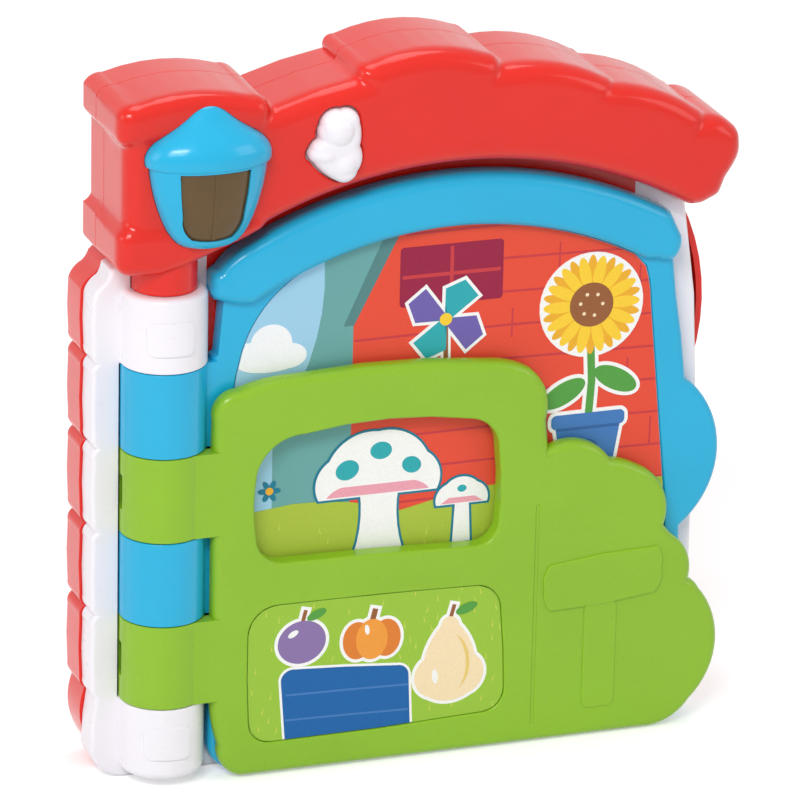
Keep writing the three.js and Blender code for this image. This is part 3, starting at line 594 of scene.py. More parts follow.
@dataclass(frozen=True)
class Pattern:
    """Noise fixed to a piece: its waves in a metre, its octaves and the share of the finer ones."""

    scale: float
    detail: float = 2.0
    fine: float = 0.5

    def add(self, tree: bpy.types.NodeTree) -> bpy.types.NodeSocket:
        """Adds the pattern to a node tree.

        Args:
            tree: The node tree.

        Returns:
            The pattern's output.
        """
        where = tree.nodes.new("ShaderNodeTexCoord")
        noise = tree.nodes.new("ShaderNodeTexNoise")
        for name, value in (("Scale", self.scale), ("Detail", self.detail), ("Roughness", self.fine)):
            noise.inputs[name].default_value = value
        tree.links.new(where.outputs["Object"], noise.inputs["Vector"])
        return noise.outputs["Fac"]

    def between(self, tree: bpy.types.NodeTree, low: float, high: float) -> bpy.types.NodeSocket:
        """Adds the pattern to a node tree, mapped onto a range of values.

        Args:
            tree: The node tree.
            low: Value where the pattern is low.
            high: Value where it is high.

        Returns:
            The output of the values.
        """
        spread = tree.nodes.new("ShaderNodeMapRange")
        names = ("From Min", "From Max", "To Min", "To Max")
        for name, value in zip(names, (*PATTERN_SPAN, low, high)):
            spread.inputs[name].default_value = value
        tree.links.new(self.add(tree), spread.inputs["Value"])
        return spread.outputs["Result"]


def fresh_material(name: str) -> tuple[bpy.types.Material, bpy.types.ShaderNodeBsdfPrincipled]:
    """Starts a material.

    Args:
        name: Its name.

    Returns:
        The material and its main shader.
    """
    material = bpy.data.materials.new(name)
    material.use_nodes = True
    return material, material.node_tree.nodes["Principled BSDF"]


@dataclass(frozen=True)
class Finish:
    """A surface: a faintly mottled colour, a roughness that varies over it and a fine relief.

    The shades are factors on the colour, the depth of the relief is in metres, and the values are
    those of the shader's other inputs.
    """

    name: str
    colour: Colour
    shades: tuple[float, float]
    roughness: tuple[float, float]
    tint: Pattern
    skin: Pattern
    relief: Pattern
    strength: float
    depth: float
    values: tuple[tuple[str, float], ...] = ()

    def material(self) -> bpy.types.Material:
        """Builds the material."""
        material, shader = fresh_material(self.name)
        tree = material.node_tree
        ramp = tree.nodes.new("ShaderNodeValToRGB")
        for stop, place, share in zip(ramp.color_ramp.elements, PATTERN_SPAN, self.shades):
            stop.position = place
            stop.color = (*(min(1.0, c * share) for c in self.colour), 1)
        tree.links.new(self.tint.add(tree), ramp.inputs["Fac"])
        tree.links.new(ramp.outputs["Color"], shader.inputs["Base Color"])
        tree.links.new(self.skin.between(tree, *self.roughness), shader.inputs["Roughness"])
        bump = tree.nodes.new("ShaderNodeBump")
        bump.inputs["Strength"].default_value = self.strength
        bump.inputs["Distance"].default_value = self.depth
        tree.links.new(self.relief.add(tree), bump.inputs["Height"])
        tree.links.new(bump.outputs["Normal"], shader.inputs["Normal"])
        for name, value in self.values:
            shader.inputs[name].default_value = value
        return material


def around(middle: float, spread: float) -> tuple[float, float]:
    """Gives the two ends of a range from its middle."""
    return middle - spread, middle + spread


def moulded(name: str, colour: Colour, roughness: float = 0.22, spread: float = 0.03) -> Finish:
    """Gives coloured moulded plastic with a faint flow pattern and a satin skin.

    Args:
        name: Name of the material.
        colour: Its colour.
        roughness: Mean roughness.
        spread: How far the flow pattern lightens and darkens the colour.

    Returns:
        The finish.
    """
    skin = (("Coat Weight", 0.3), ("Coat Roughness", 0.07), ("Specular IOR Level", 0.26), ("IOR", 1.49))
    flow, grain, wave = Pattern(22.0, 3.0), Pattern(160.0, 4.0), Pattern(120.0, 0.0)
    shades, rough = around(1, spread), around(roughness, 0.035)
    return Finish(name, colour, shades, rough, flow, grain, wave, 0.06, 0.00006, skin)


def smoked() -> Finish:
    """Gives the clear brown plastic of the lantern's window."""
    ripple = Pattern(500.0, 1.0)
    glassy = (("Transmission Weight", 0.45), ("IOR", 1.49))
    colour, shades, rough = linear(120, 86, 20), (0.9, 1.1), (0.1, 0.16)
    return Finish("smoked_pane", colour, shades, rough, Pattern(60.0), ripple, ripple, 0.1, 0.0001, glassy)


def printed(name: str, colour: Colour) -> Finish:
    """Gives ink on coated card: a fine mottle, satin varnish."""
    fibre, shades, rough = Pattern(700.0, 5.0, 0.6), around(1, 0.03), around(0.42, 0.05)
    varnish = (("Specular IOR Level", 0.3),)
    return Finish(name, colour, shades, rough, Pattern(1500.0, 1.0), fibre, fibre, 0.1, 0.00003, varnish)


def plated(name: str, colour: Colour, roughness: float = 0.28) -> Finish:
    """Gives bright metal with a faint haze."""
    haze, rough = Pattern(300.0, 4.0), (roughness, roughness + 0.15)
    return Finish(name, colour, (0.9, 1.0), rough, haze, haze, haze, 0.1, 0.00003, (("Metallic", 1.0),))


def coated(name: str, colour: Colour, roughness: float, metal: float = 0.0, clear: float = 0.0) -> Finish:
    """Gives the matt coating of an inner piece: solder mask, paint, wrap or black plastic.

    Args:
        name: Name of the material.
        colour: Its colour.
        roughness: Mean roughness.
        metal: Metallic share.
        clear: Share of light that it lets through.

    Returns:
        The finish.
    """
    mottle, rough = Pattern(420.0, 4.0), around(roughness, 0.06)
    values = (("Metallic", metal), ("Transmission Weight", clear))
    return Finish(name, colour, (0.9, 1.08), rough, mottle, mottle, mottle, 0.15, 0.00005, values)


@dataclass
class Finishes:
    """All materials of the book, by the slot that they dress."""

    made: dict[str, bpy.types.Material] = field(default_factory=dict)

    def __post_init__(self) -> None:
        """Builds every material."""
        for slot, finish in {
            "red_plastic": moulded("red_moulding", linear(229, 34, 20)),
            "white_plastic": moulded("white_moulding", linear(245, 241, 247), 0.3, 0.012),
            "blue_plastic": moulded("blue_moulding", linear(28, 177, 222)),
            "green_plastic": moulded("green_moulding", linear(142, 190, 36), 0.3),
            "smoked_window": smoked(), "card_red": printed("card_barn", linear(196, 66, 62)),
            "card_page": printed("card_page", linear(160, 207, 232)),
            "card_sky": printed("card_sky", linear(150, 205, 235)),
            "card_grass": printed("card_grass", linear(160, 205, 70)),
            "screw_steel": plated("screw_plating", (0.6, 0.61, 0.63)),
            "rod_steel": plated("rod_steel", (0.68, 0.69, 0.7), 0.22),
            "contact_steel": plated("contact_nickel", (0.74, 0.73, 0.69), 0.25),
            "board_green": coated("solder_mask", linear(44, 120, 74), 0.35),
            "lamp_clear": coated("lamp_resin", linear(255, 242, 205), 0.12, 0.0, 0.5),
            "black_plastic": coated("black_plastic", linear(40, 40, 43), 0.45),
            "speaker_grey": coated("speaker_paint", linear(86, 89, 94), 0.45, 0.4),
            "cell_wrap": coated("cell_wrap", linear(58, 61, 68), 0.3, 0.5),
        }.items():
            self.made[slot] = finish.material()

    def dress_frame(self) -> None:
        """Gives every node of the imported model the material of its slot."""
        slots = {part["node"]: part["material_slot"] for part in frame["record"]["subparts"]}
        for name, node in frame["nodes"].items():
            node.data.materials.clear()
            node.data.materials.append(self.made[slots[name]])


@dataclass
class Bench:
    """Places finished solids in the row frame."""

    finishes: Finishes
    origin: Vector
    slots: dict[str, str] = field(default_factory=dict)

    def __post_init__(self) -> None:
        """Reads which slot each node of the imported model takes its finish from."""
        self.slots = {part["node"]: part["material_slot"] for part in frame["record"]["subparts"]}

    def place(
        self, name: str, solid: Solid, body: Body, slot: str, stands_for: Sequence[str] = (),
        material: bpy.types.Material | None = None, flat: bool = False,
    ) -> bpy.types.Object:
        """Turns a solid into a piece that rides on a body.

        Args:
            name: Name of the piece.
            solid: Its shape.
            body: Body that it rides on.
            slot: Material slot of the record.
            stands_for: Nodes that it replaces.
            material: Its own material, or none for that of the slot.
            flat: True for a print, whose faces stay flat.

        Returns:
            The piece.
        """
        mesh = solid.mesh.copy()
        mesh.name = name
        mesh.transform(Matrix.Translation(self.origin) @ Matrix.Scale(MM, 4))
        mesh.materials.clear()
        mesh.materials.append(material or self.finishes.made[slot])
        for poly in mesh.polygons:
            poly.material_index = 0
        piece = bpy.data.objects.new(name, mesh)
        bpy.context.scene.collection.objects.link(piece)
        if not flat:
            mesh.shade_smooth()
            mesh.set_sharp_from_angle(angle=SMOOTH_ANGLE)
            weighted = piece.modifiers.new("even_shade", "WEIGHTED_NORMAL")
            weighted.keep_sharp = True
        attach(piece, body.value)
        if stands_for:
            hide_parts(*stands_for)
        log.info("%s: %d faces on %s", name, len(mesh.polygons), body.value)
        return piece


# Sizes shared by the sub-assemblies


@dataclass(frozen=True)
class BookPlan:
    """Levels and outlines that several pieces share."""

    origin: Vector
    column_r: float
    column_bottom: float
    case_back: float
    case_right: float
    case_front: float = 2.0
    parting: float = 14.0
    case_left: float = -24.5
    corner_r: float = 12.0
    end_knuckle: float = 28.4
    pitch: float = 32.6
    knuckles: int = 4
    rod_r: float = 2.5
    arch_x: float = 109.0
    arch_r: float = 175.0
    arch_start: float = 27.0
    arch_end: float = 199.0
    arch_rise: float = 39.8
    roof_front: float = -13.5
    roof_rise: float = 46.0
    roof_right: float = 216.3
    tower_left: float = -18.5
    tower_right: float = 34.4
    tower_rise: float = 42.0
    cornice: float = 3.0
    door: tuple[float, float, float, float] = (69.0, 139.0, 29.0, 75.0)
    door_screw: Point = (104.0, 68.5)
    switch: Point = (168.0, 52.0)

    @classmethod
    def from_frame(cls) -> "BookPlan":
        """Reads the column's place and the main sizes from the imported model.

        Returns:
            The plan.
        """
        hinge = next(j for j in frame["joints"] if j["name"] == "blue_page_hinge")
        origin = Vector((hinge["pos_m"][0], hinge["pos_m"][1], 0.0))
        front_low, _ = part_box("front_case")
        _, rear_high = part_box("rear_case")
        column_r = (origin.y - front_low.y) / MM - 0.5
        knuckle_low = (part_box("page_rod")[0].z) / MM - 4.4
        return cls(
            origin=origin, column_r=round(column_r, 2),
            column_bottom=round(knuckle_low, 2), case_back=round((rear_high.y - origin.y) / MM, 2),
            case_right=round((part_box("front_case")[1].x - origin.x) / MM, 2),
        )

    def seam(self, i: int) -> float:
        """Gives the height of a joint line between two knuckles."""
        return self.column_bottom + self.end_knuckle + i * self.pitch

    @property
    def column_top(self) -> float:
        """Gives the top of the upper white knuckle."""
        return self.seam(self.knuckles) + self.end_knuckle

    @property
    def arch_top(self) -> float:
        """Gives the highest point of the arch under the roof."""
        return self.column_top + self.arch_rise

    @property
    def roof_top(self) -> float:
        """Gives the highest point of the tiles."""
        return self.arch_top + self.roof_rise

    @property
    def tower_top(self) -> float:
        """Gives the highest point of the tower."""
        return self.arch_top + self.tower_rise

    @property
    def tower_foot(self) -> float:
        """Gives the lowest point of the tower."""
        return self.column_top + 8.8

    def arch_z(self, radius: float, x: float) -> float:
        """Gives the height of an arch of a radius at x."""
        return self.arch_top - self.arch_r + math.sqrt(radius * radius - (x - self.arch_x) ** 2)

    def arch_run(self, radius: float, x0: float, x1: float, steps: int = 48) -> list[Point]:
        """Gives corners along an arch.

        Args:
            radius: Its radius.
            x0: First x.
            x1: Last x.
            steps: Number of steps.

        Returns:
            The corners, both ends included.
        """
        return [
            (x, self.arch_z(radius, x)) for x in (x0 + (x1 - x0) * i / steps for i in range(steps + 1))
        ]

    @property
    def arch_foot(self) -> float:
        """Gives the height of the arch at its right-hand end."""
        return self.arch_z(self.arch_r, self.arch_end)

    def roof_run(self) -> list[Leg]:
        """Gives the legs of the roof's edge from its right-hand end over the tiles and the tower."""
        tile_end = self.roof_right - 12.8
        edge = self.tower_left - self.cornice
        return [
            (self.roof_right - 4.4, self.roof_top - 65, 1),
            (self.roof_right - 3.2, self.roof_top - 61.5, 0.2),
            (self.roof_right + 1.5, self.roof_top - 54, 0.3),
            (self.roof_right + 2.1, self.roof_top - 47.4, 0.5),
            (self.roof_right - 1.2, self.roof_top - 41, 1), (tile_end, self.roof_top - 37, 1.6),
            (tile_end - 1.6, self.roof_top - 34.6, 0.5), (167, self.roof_top - 21.2, 2.6),
            (165.4, self.roof_top - 19.2, 0.6), (123.6, self.roof_top - 10.4, 3.4),
            (119, self.roof_top - 6, 1.1), (73, self.roof_top - 5.8, 4.2),
            (69, self.roof_top - 10.8, 1.8), (self.tower_right + 3, self.roof_top - 18.8, 0.8),
            (self.tower_right + 1.6, self.tower_top - 14.6, -0.4),
            (self.tower_right - 6, self.tower_top - 9, 1.8),
            (self.tower_left + 4, self.tower_top - 8.8, 3.2), (edge, self.tower_top - 12.4, 1.2),
            (edge, self.tower_top - 21), (self.tower_left, self.tower_top - 24.5, 0.5),
            (self.tower_left, self.tower_foot + 19), (edge, self.tower_foot + 16, -0.5),
            (edge, self.tower_foot + 4), (self.tower_left + 2, self.tower_foot, 1),
        ]

    def spine_run(self, edge: float, proud: float) -> list[Leg]:
        """Gives the legs of the scalloped spine from the top down.

        Args:
            edge: x of the dips between the scallops.
            proud: How far the scallops stand out from the dips.

        Returns:
            The legs.
        """
        pitch = self.seam(1) - self.seam(0)
        top = self.seam(self.knuckles) + 0.9 * pitch
        dips = [top, *(self.seam(i) for i in range(self.knuckles, -1, -1))]
        legs: list[Leg] = [(edge + 3.2, top + 1.4, -0.3)]
        for high, low in zip(dips, dips[1:]):
            legs += [
                (edge - 0.8 * proud, high - 4.6, 0.8), (edge - 0.8 * proud, low + 4.6, 0.4),
                (edge, low, 0.7)
            ]
        return legs

    def underside(self) -> list[Point]:
        """Gives the corners under the tower and along the arch, from the left."""
        return [
            (-5, self.tower_foot - 0.6), (5, self.tower_foot + 2.4),
            *self.arch_run(self.arch_r, self.arch_start, self.arch_end),
        ]

    def skirt(self, grow: float) -> Solid:
        """Makes the roof's red strip that is let into the case front behind the page's arch.

        Args:
            grow: How much larger it gets on all sides.

        Returns:
            The solid.
        """
        low = self.column_top - 36
        loop = trace(
            (16.6, low), (25, low),
            (26.5, self.column_top - 4), (40, self.arch_z(self.arch_r - 8, 40)),
            *self.arch_run(self.arch_r - 8, 44, 182),
            *self.arch_run(self.arch_r - 0.4 - GAP, 182, 27), (16.6, self.column_top + 10),
        )
        return plate(
            shrink(loop, -grow) if grow else loop, self.case_front - grow,
            self.case_front + 1.2 + grow
        )

    def case_screws(self) -> list[Point]:
        """Gives the places of the four case screws."""
        high = self.column_top - 15
        return [(30, 16), (192, 16), (30, high), (190, high)]

    def roof_screws(self) -> list[Point]:
        """Gives the places of the three roof screws."""
        return [
            (self.tower_left + 10, self.tower_top - 15), (92, self.roof_top - 19),
            (196, self.arch_foot + 20),
        ]


# Sub-assemblies


@dataclass
class RearCase:
    """Red tray of the case with the roof's rear half, scalloped spine and thumb tab."""

    plan: BookPlan
    bench: Bench
    scallop: float = 2.4
    tab_sag: float = 8.0
    back_round: float = 4.0
    speaker: Point = (104.0, 140.0)

    def loop(self) -> list[Point]:
        """Draws the tray's outline."""
        p = self.plan
        spine = p.case_left - 0.6
        return trace(
            (p.case_left + p.corner_r, 0), (p.case_right - p.corner_r, 0),
            quarter(p.case_right, p.corner_r, p.corner_r), (p.case_right, 128),
            (p.arch_end + 6.4, p.arch_foot - 6.1, self.tab_sag),
            (p.arch_end + 9, p.arch_foot + 1.9), *p.roof_run(),
            (p.tower_left - 1, p.tower_foot - 2.6), *p.spine_run(spine, self.scallop),
            (p.case_left + p.corner_r - 0.6, 0, 6.6),
        )

    def build(self) -> None:
        """Builds the tray."""
        p = self.plan
        loop = self.loop()
        back = p.case_back
        shell = plate(loop, p.parting + SPLIT, back, 0.25, self.back_round, 6)
        shell = shell.minus(plate(shrink(loop, WALL), p.parting - 1, back - WALL, 0, 2, 3))
        x0, x1, z0, z1 = p.door
        screw_x, screw_z = p.door_screw
        bay = (x0 + 6.9, x1 - 6.9, z0 + 4, z0 + 34)
        sx, sz = self.speaker
        wx, wz = p.switch
        screws = [*p.case_screws(), *p.roof_screws()]
        shell = shell.plus(
            block(bay[0] - 1.6, bay[1] + 1.6, p.parting + 1, back - 1, bay[2] - 1.6, bay[3] + 1.6),
            pin(sx, sz, 22, back - WALL - 4, back - 1, 64).minus(
                pin(sx, sz, 20.3, back - WALL - 5, back - WALL, 64)
            ),
            pin(screw_x, screw_z, 6.6, back - 12, back - 1),
            *(pin(x, z, 4.6, p.parting + SPLIT, back - WALL / 2) for x, z in screws),
        )
        holes = [(sx, sz)]
        for ring in (1, 2):
            for i in range(6 * ring):
                a = i * math.pi / 3 / ring
                holes.append((sx + 6 * ring * math.cos(a), sz + 6 * ring * math.sin(a)))
        shell = shell.minus(
            block(bay[0], bay[1], p.parting + 2.4, back + 1, bay[2], bay[3], 0.5),
            socket(round_rect(x0, x1, z0, z1, 1.8), back, back - 2, 0.4),
            pin(screw_x, screw_z, 1.55, back - 11, back + 1),
            pin(screw_x, screw_z, 5, back - 5.3, back + 1),
            socket(round_rect(wx - 7, wx + 7, wz - 4, wz + 4, 1), back, back - 1, 0.3),
            block(wx - 5.5, wx + 5.5, back - WALL - 1, back, wz - 2, wz + 2),
            *(socket(oval(x, z, 3.1), back, p.parting + 3.4, 0.4) for x, z in screws),
            *(pin(x, z, 1.7, p.parting - 1, p.parting + 4.4) for x, z in screws),
            *(socket(oval(x, z, 1.7, sides=20), back, back - WALL - 1, 0.35, 3) for x, z in holes),
        )
        self.bench.place("case_back_shell", shell, Body.CASE, "red_plastic", ["rear_case"])


@dataclass
class FrontCase:
    """White front of the case with its end knuckles and the trough behind the column."""

    plan: BookPlan
    bench: Bench
    scallop: float = 1.9

    def loop(self) -> list[Point]:
        """Draws the outline of the white front."""
        p = self.plan
        return trace(
            (p.case_left + p.corner_r, 0), (p.case_right - p.corner_r, 0),
            quarter(p.case_right, p.corner_r, p.corner_r), (p.case_right, 131),
            (p.arch_end + 3.4, p.arch_foot - 3.1, 1.6), (p.arch_end + 1, p.arch_foot - GAP),
            *((x, z - GAP) for x, z in reversed(p.underside())),
            (p.tower_left + 2, p.tower_foot - GAP), (p.tower_left - 1, p.tower_foot - 1.6),
            *p.spine_run(p.case_left, self.scallop), (p.case_left - self.scallop, p.corner_r, 0.5),
            quarter(p.case_left + p.corner_r, 0, p.corner_r),
        )

    def picture_loop(self) -> list[Point]:
        """Draws the recess of the picture card."""
        p = self.plan
        return trace(
            (34, 10), (186, 10), quarter(196, 20, 10), (196, 150),
            (190, p.arch_foot - 10, 1), *p.arch_run(p.arch_r - 9, 184, 36),
            (26, p.column_top - 1, 3), (24, p.column_top - 17), (24, 20), quarter(34, 10, 10),
        )

    def knuckle(self, z0: float, z1: float, up: bool) -> Solid:
        """Turns an end knuckle of the column.

        Args:
            z0: Lower end.
            z1: Upper end.
            up: True for the upper one.

        Returns:
            The solid.
        """
        r = self.plan.column_r
        rows = levels_of(z0, z1, 0.5 if up else 3.4, 2.2 if up else 0.5, 6)
        return turned([(z, r - depth) for z, depth in rows])

    def raised_square(self, z: float) -> Solid:
        """Makes the low raised square on an end knuckle."""
        r = self.plan.column_r
        field_loop = round_rect(-10.6, 6.6, z - 6.2, z + 6.2, 2.6)
        return post(r + 0.8, z - 12, z + 12).within(plate(field_loop, -2 * r, -1))

    def build(self) -> None:
        """Builds the white front."""
        p = self.plan
        loop = self.loop()
        trough = p.column_r + 2 * GAP
        low, high = p.seam(0), p.seam(p.knuckles)
        hollow = plate(shrink(loop, WALL), p.case_front + WALL + RECESS, p.parting + 1, 1, 0, 3)
        shell = plate(loop, p.case_front, p.parting - SPLIT, 1.6, 0.25, 5).minus(hollow)
        shell = shell.plus(
            post(trough + 1.6, low - 2, high + 2).minus(ahead(p.case_front)),
            *(pin(x, z, 4, p.case_front + 2, p.parting - SPLIT) for x, z in p.case_screws()),
        )
        shell = shell.minus(
            post(trough, low, high), post(12.3, p.column_top - 1, p.column_top + 14.8),
            socket(self.picture_loop(), p.case_front, p.case_front + RECESS, 0.5), p.skirt(0.05),
        )
        shell = shell.plus(
            self.knuckle(p.column_bottom, low - SPLIT, False),
            self.knuckle(high + SPLIT, p.column_top, True),
            self.raised_square(p.column_bottom + 15), self.raised_square(p.column_top - 15),
        )
        shell = shell.minus(
            post(p.rod_r + SPLIT, p.column_bottom + 4, p.column_top - 4, 32),
            *(pin(x, z, 1.55, p.case_front + 5, p.parting) for x, z in p.case_screws()),
        )
        self.bench.place("case_front_shell", shell, Body.CASE, "white_plastic", ["front_case"])


@dataclass
class Lantern:
    """Blue lantern housing on the tower with its smoked window."""

    plan: BookPlan
    bench: Bench
    x: float = 11.6
    radius: float = 23.5
    height: float = 53.0
    drop: float = 21.2
    out: float = 12.5

    @property
    def bottom(self) -> float:
        """Gives the lowest point of the bowl."""
        return self.plan.arch_top - self.drop

    @property
    def rim(self) -> float:
        """Gives the underside of the brim."""
        return self.bottom + 0.594 * self.height

    def profile(self) -> list[Point]:
        """Gives the turned profile: bowl, brim with a lip, hollow-curved cap and knob."""
        rough = [
            (0.0, 3.4), (0.006, 6.8), (0.022, 9.6), (0.05, 12.0), (0.09, 13.8), (0.14, 15.4), (0.21, 17.1),
            (0.3, 18.8), (0.377, 20.0), (0.45, 20.9), (0.53, 21.6), (0.588, 21.9), (0.594, 22.6),
            (0.6, 23.1), (0.612, 23.4), (0.63, 23.5), (0.655, 23.5), (0.676, 23.3), (0.7, 22.8), (0.73, 21.8),
            (0.76, 20.3), (0.79, 18.3), (0.815, 16.3), (0.84, 14.2), (0.866, 12.0), (0.894, 10.0),
            (0.92, 8.3), (0.94, 7.1), (0.96, 5.8), (0.978, 4.3), (0.99, 2.9), (0.997, 1.6), (1.0, 0.4),
        ]
        return [(self.bottom + share * self.height, r) for share, r in rough]

    def turned_form(self, grow: float = 0.0) -> Solid:
        """Turns the lantern's form.

        Args:
            grow: How much wider it gets, negative for slimmer.

        Returns:
            The solid.
        """
        low, high = self.bottom - max(grow, 0), self.bottom + self.height + max(grow, 0)
        rows = [(z, max(0.3, r + grow)) for z, r in self.profile()]
        if grow > 0:
            rows = [(low, rows[0][1]), *rows, (high, rows[-1][1])]
        return turned(rows, 96, self.x, self.plan.roof_front, self.out / self.radius)

    def window_loop(self) -> list[Point]:
        """Draws the window's outline."""
        foot, top, x = self.bottom + 4.6, self.rim - 0.9, self.x
        return trace(
            (x - 7.4, foot), (x + 7.4, foot, 0.8), (x + 11.6, foot + 9, 1.3), (x + 13.2, top, 0.2),
            (x - 13.2, top), (x - 11.6, foot + 9, 0.2), (x - 7.4, foot, 1.3),
        )

    def build(self) -> None:
        """Builds housing and window."""
        p = self.plan
        back = p.roof_front + 0.7
        face = p.roof_front - self.out
        flat = self.out / self.radius
        cavity = turned(
            [(z + (1.2 if z < self.rim else -1.4), max(1.0, r - 2)) for z, r in self.profile()[3:27]],
            96, self.x, p.roof_front, flat,
        )
        opening = plate(self.window_loop(), face - 1, back - 2)
        lamp = round_rect(self.x - 8, self.x + 8, self.bottom + 6.5, self.bottom + 29.5, 3)
        inner = plate(shrink(lamp, 2), face, 2)
        tube = plate(shrink(lamp, GAP), back - 1.2, p.roof_front + WALL + 2.4).minus(inner)
        wall = self.turned_form().minus(ahead(back - 1.2), behind(back), inner)
        housing = self.turned_form().minus(cavity, behind(back))
        housing = housing.plus(tube, wall).minus(opening)
        self.bench.place("lantern_housing", housing, Body.CASE, "blue_plastic", ["lantern_frame"])
        pane = self.turned_form(-1.6).minus(self.turned_form(-2.8)).within(
            plate(shrink(self.window_loop(), -1.0), face, p.roof_front - 2.5)
        )
        rib = self.turned_form(-1.1).minus(self.turned_form(-2.6)).within(
            block(self.x - 0.7, self.x + 0.7, face, p.roof_front - 2.5, self.bottom + 4, self.rim - 0.5)
        )
        self.bench.place("lantern_pane", pane.plus(rib), Body.CASE, "smoked_window", ["lantern_window"])


@dataclass
class Roof:
    """Red roof front: tower, tiles and the neck over the column."""

    plan: BookPlan
    bench: Bench
    lantern: Lantern
    rounding: float = 7.0
    proud: float = 1.4
    soft_rounds: int = 9
    still_y: float = 9.0

    def loop(self) -> list[Point]:
        """Draws the roof's outline."""
        p = self.plan
        return trace(
            (p.tower_left + 2, p.tower_foot), *p.underside(),
            (p.arch_end + 5, p.arch_foot - 0.1), (p.arch_end + 9, p.arch_foot + 1.9), *p.roof_run(),
        )

    def crown_loop(self) -> list[Point]:
        """Draws the tower's arched cap."""
        p = self.plan
        edge = p.tower_left - p.cornice
        return trace(
            (edge, p.tower_top - 21), (p.tower_left, p.tower_top - 24.5, 0.5),
            (p.tower_right - 1, p.tower_top - 24.5), (p.tower_right + 1.6, p.tower_top - 14.6),
            (p.tower_right - 6, p.tower_top - 9, 1.8), (p.tower_left + 4, p.tower_top - 8.8, 3.2),
            (edge, p.tower_top - 12.4, 1.2),
        )

    def foot_loop(self) -> list[Point]:
        """Draws the thicker foot of the tower."""
        p = self.plan
        edge = p.tower_left - p.cornice
        return trace(
            (edge, p.tower_foot + 4), (p.tower_left + 2, p.tower_foot, 1),
            (-5, p.tower_foot - 0.6), (5, p.tower_foot + 2.4),
            (p.arch_start, p.arch_z(p.arch_r, p.arch_start)),
            (p.tower_right, p.arch_z(p.arch_r, p.tower_right)),
            (p.tower_right - 1, p.tower_foot + 19), (p.tower_left, p.tower_foot + 19),
            (edge, p.tower_foot + 16, -0.5),
        )

    def build(self) -> None:
        """Builds the roof front."""
        p = self.plan
        loop = self.loop()
        front = p.roof_front
        form = plate(loop, front, p.parting + 3, self.rounding, 0, 7)
        for extra in (self.crown_loop(), self.foot_loop()):
            form = form.plus(
                plate(extra, front - self.proud, front + self.rounding, self.rounding - 1.6, 0, 6)
            )
        form = form.melted(
            0.8, self.soft_rounds, lambda places: np.clip((self.still_y - places[:, 1]) / 7.0, 0.0, 1.0), 0.0
        )
        hollow = plate(shrink(loop, WALL), front + WALL, p.parting + 5, self.rounding - WALL, 0, 4)
        shell = form.minus(hollow, behind(p.parting - SPLIT)).beside(p.skirt(0.0))
        shell = shell.plus(post(12, p.column_top + GAP, p.column_top + 14.8))
        lamp = round_rect(
            self.lantern.x - 8, self.lantern.x + 8, self.lantern.bottom + 6.5, self.lantern.bottom + 29.5, 3
        )
        bird = BirdButton(p, self.bench)
        shell = shell.minus(
            self.lantern.turned_form(GAP).minus(behind(front + 1)),
            plate(lamp, front - 3, front + 2 * WALL),
            socket(shrink(bird.loop(), -0.7), front, front + 2 * WALL, 0.9),
        )
        self.bench.place("roof_shell", shell, Body.CASE, "red_plastic", ["roof_front"])


@dataclass
class BirdButton:
    """White push button with the plain outline of a small bird."""

    plan: BookPlan
    bench: Bench
    x: float = 59.6
    rise: float = 12.0
    proud: float = 4.8

    def loop(self) -> list[Point]:
        """Draws the bird: round head, wing to the left, body drawn down to a blunt tail."""
        x, z = self.x, self.plan.arch_top + self.rise
        return trace(
            (x + 0.5, z - 13), (x + 7.8, z - 9.5, 2), (x + 8.6, z, 1.4), (x + 8.4, z + 9, 0.6),
            (x + 1.5, z + 13.6, 2.2), (x - 6, z + 8.4, 2.2),
            (x - 6.4, z + 3.4, 0.6), (x - 9.8, z, 0.6),
            (x - 9, z - 4.8, 1.2), (x + 0.5, z - 13, 0.8),
        )

    def build(self) -> None:
        """Builds the button."""
        p = self.plan
        z = p.arch_top + self.rise
        front = p.roof_front
        flange = front + WALL + GAP + 0.6
        form = plate(self.loop(), front - self.proud, flange + 1, 4, 0, 8)
        form = form.plus(
            ball(self.x + 0.4, front - self.proud + 3.2, z + 6.4, 6.4, 5.2, 6.4),
            ball(self.x - 4.6, front - self.proud + 3.6, z - 2.4, 5.2, 4.4, 3.6),
            ball(self.x + 2.6, front - self.proud + 3.4, z - 6.2, 5.4, 4.6, 5.2),
        )
        form = form.melted(0.35, 9, lambda places: np.clip((front + 1.5 - places[:, 1]) / 1.5, 0.0, 1.0))
        stem = pin(self.x - 2.6, z - 0.4, 2.4, flange, -4.3 - 2, 24)
        rim = plate(shrink(self.loop(), -1.0), flange, flange + 1.4)
        self.bench.place(
            "bird_push_button", form.plus(rim, stem), Body.BUTTON, "white_plastic", ["bird_button"]
        )


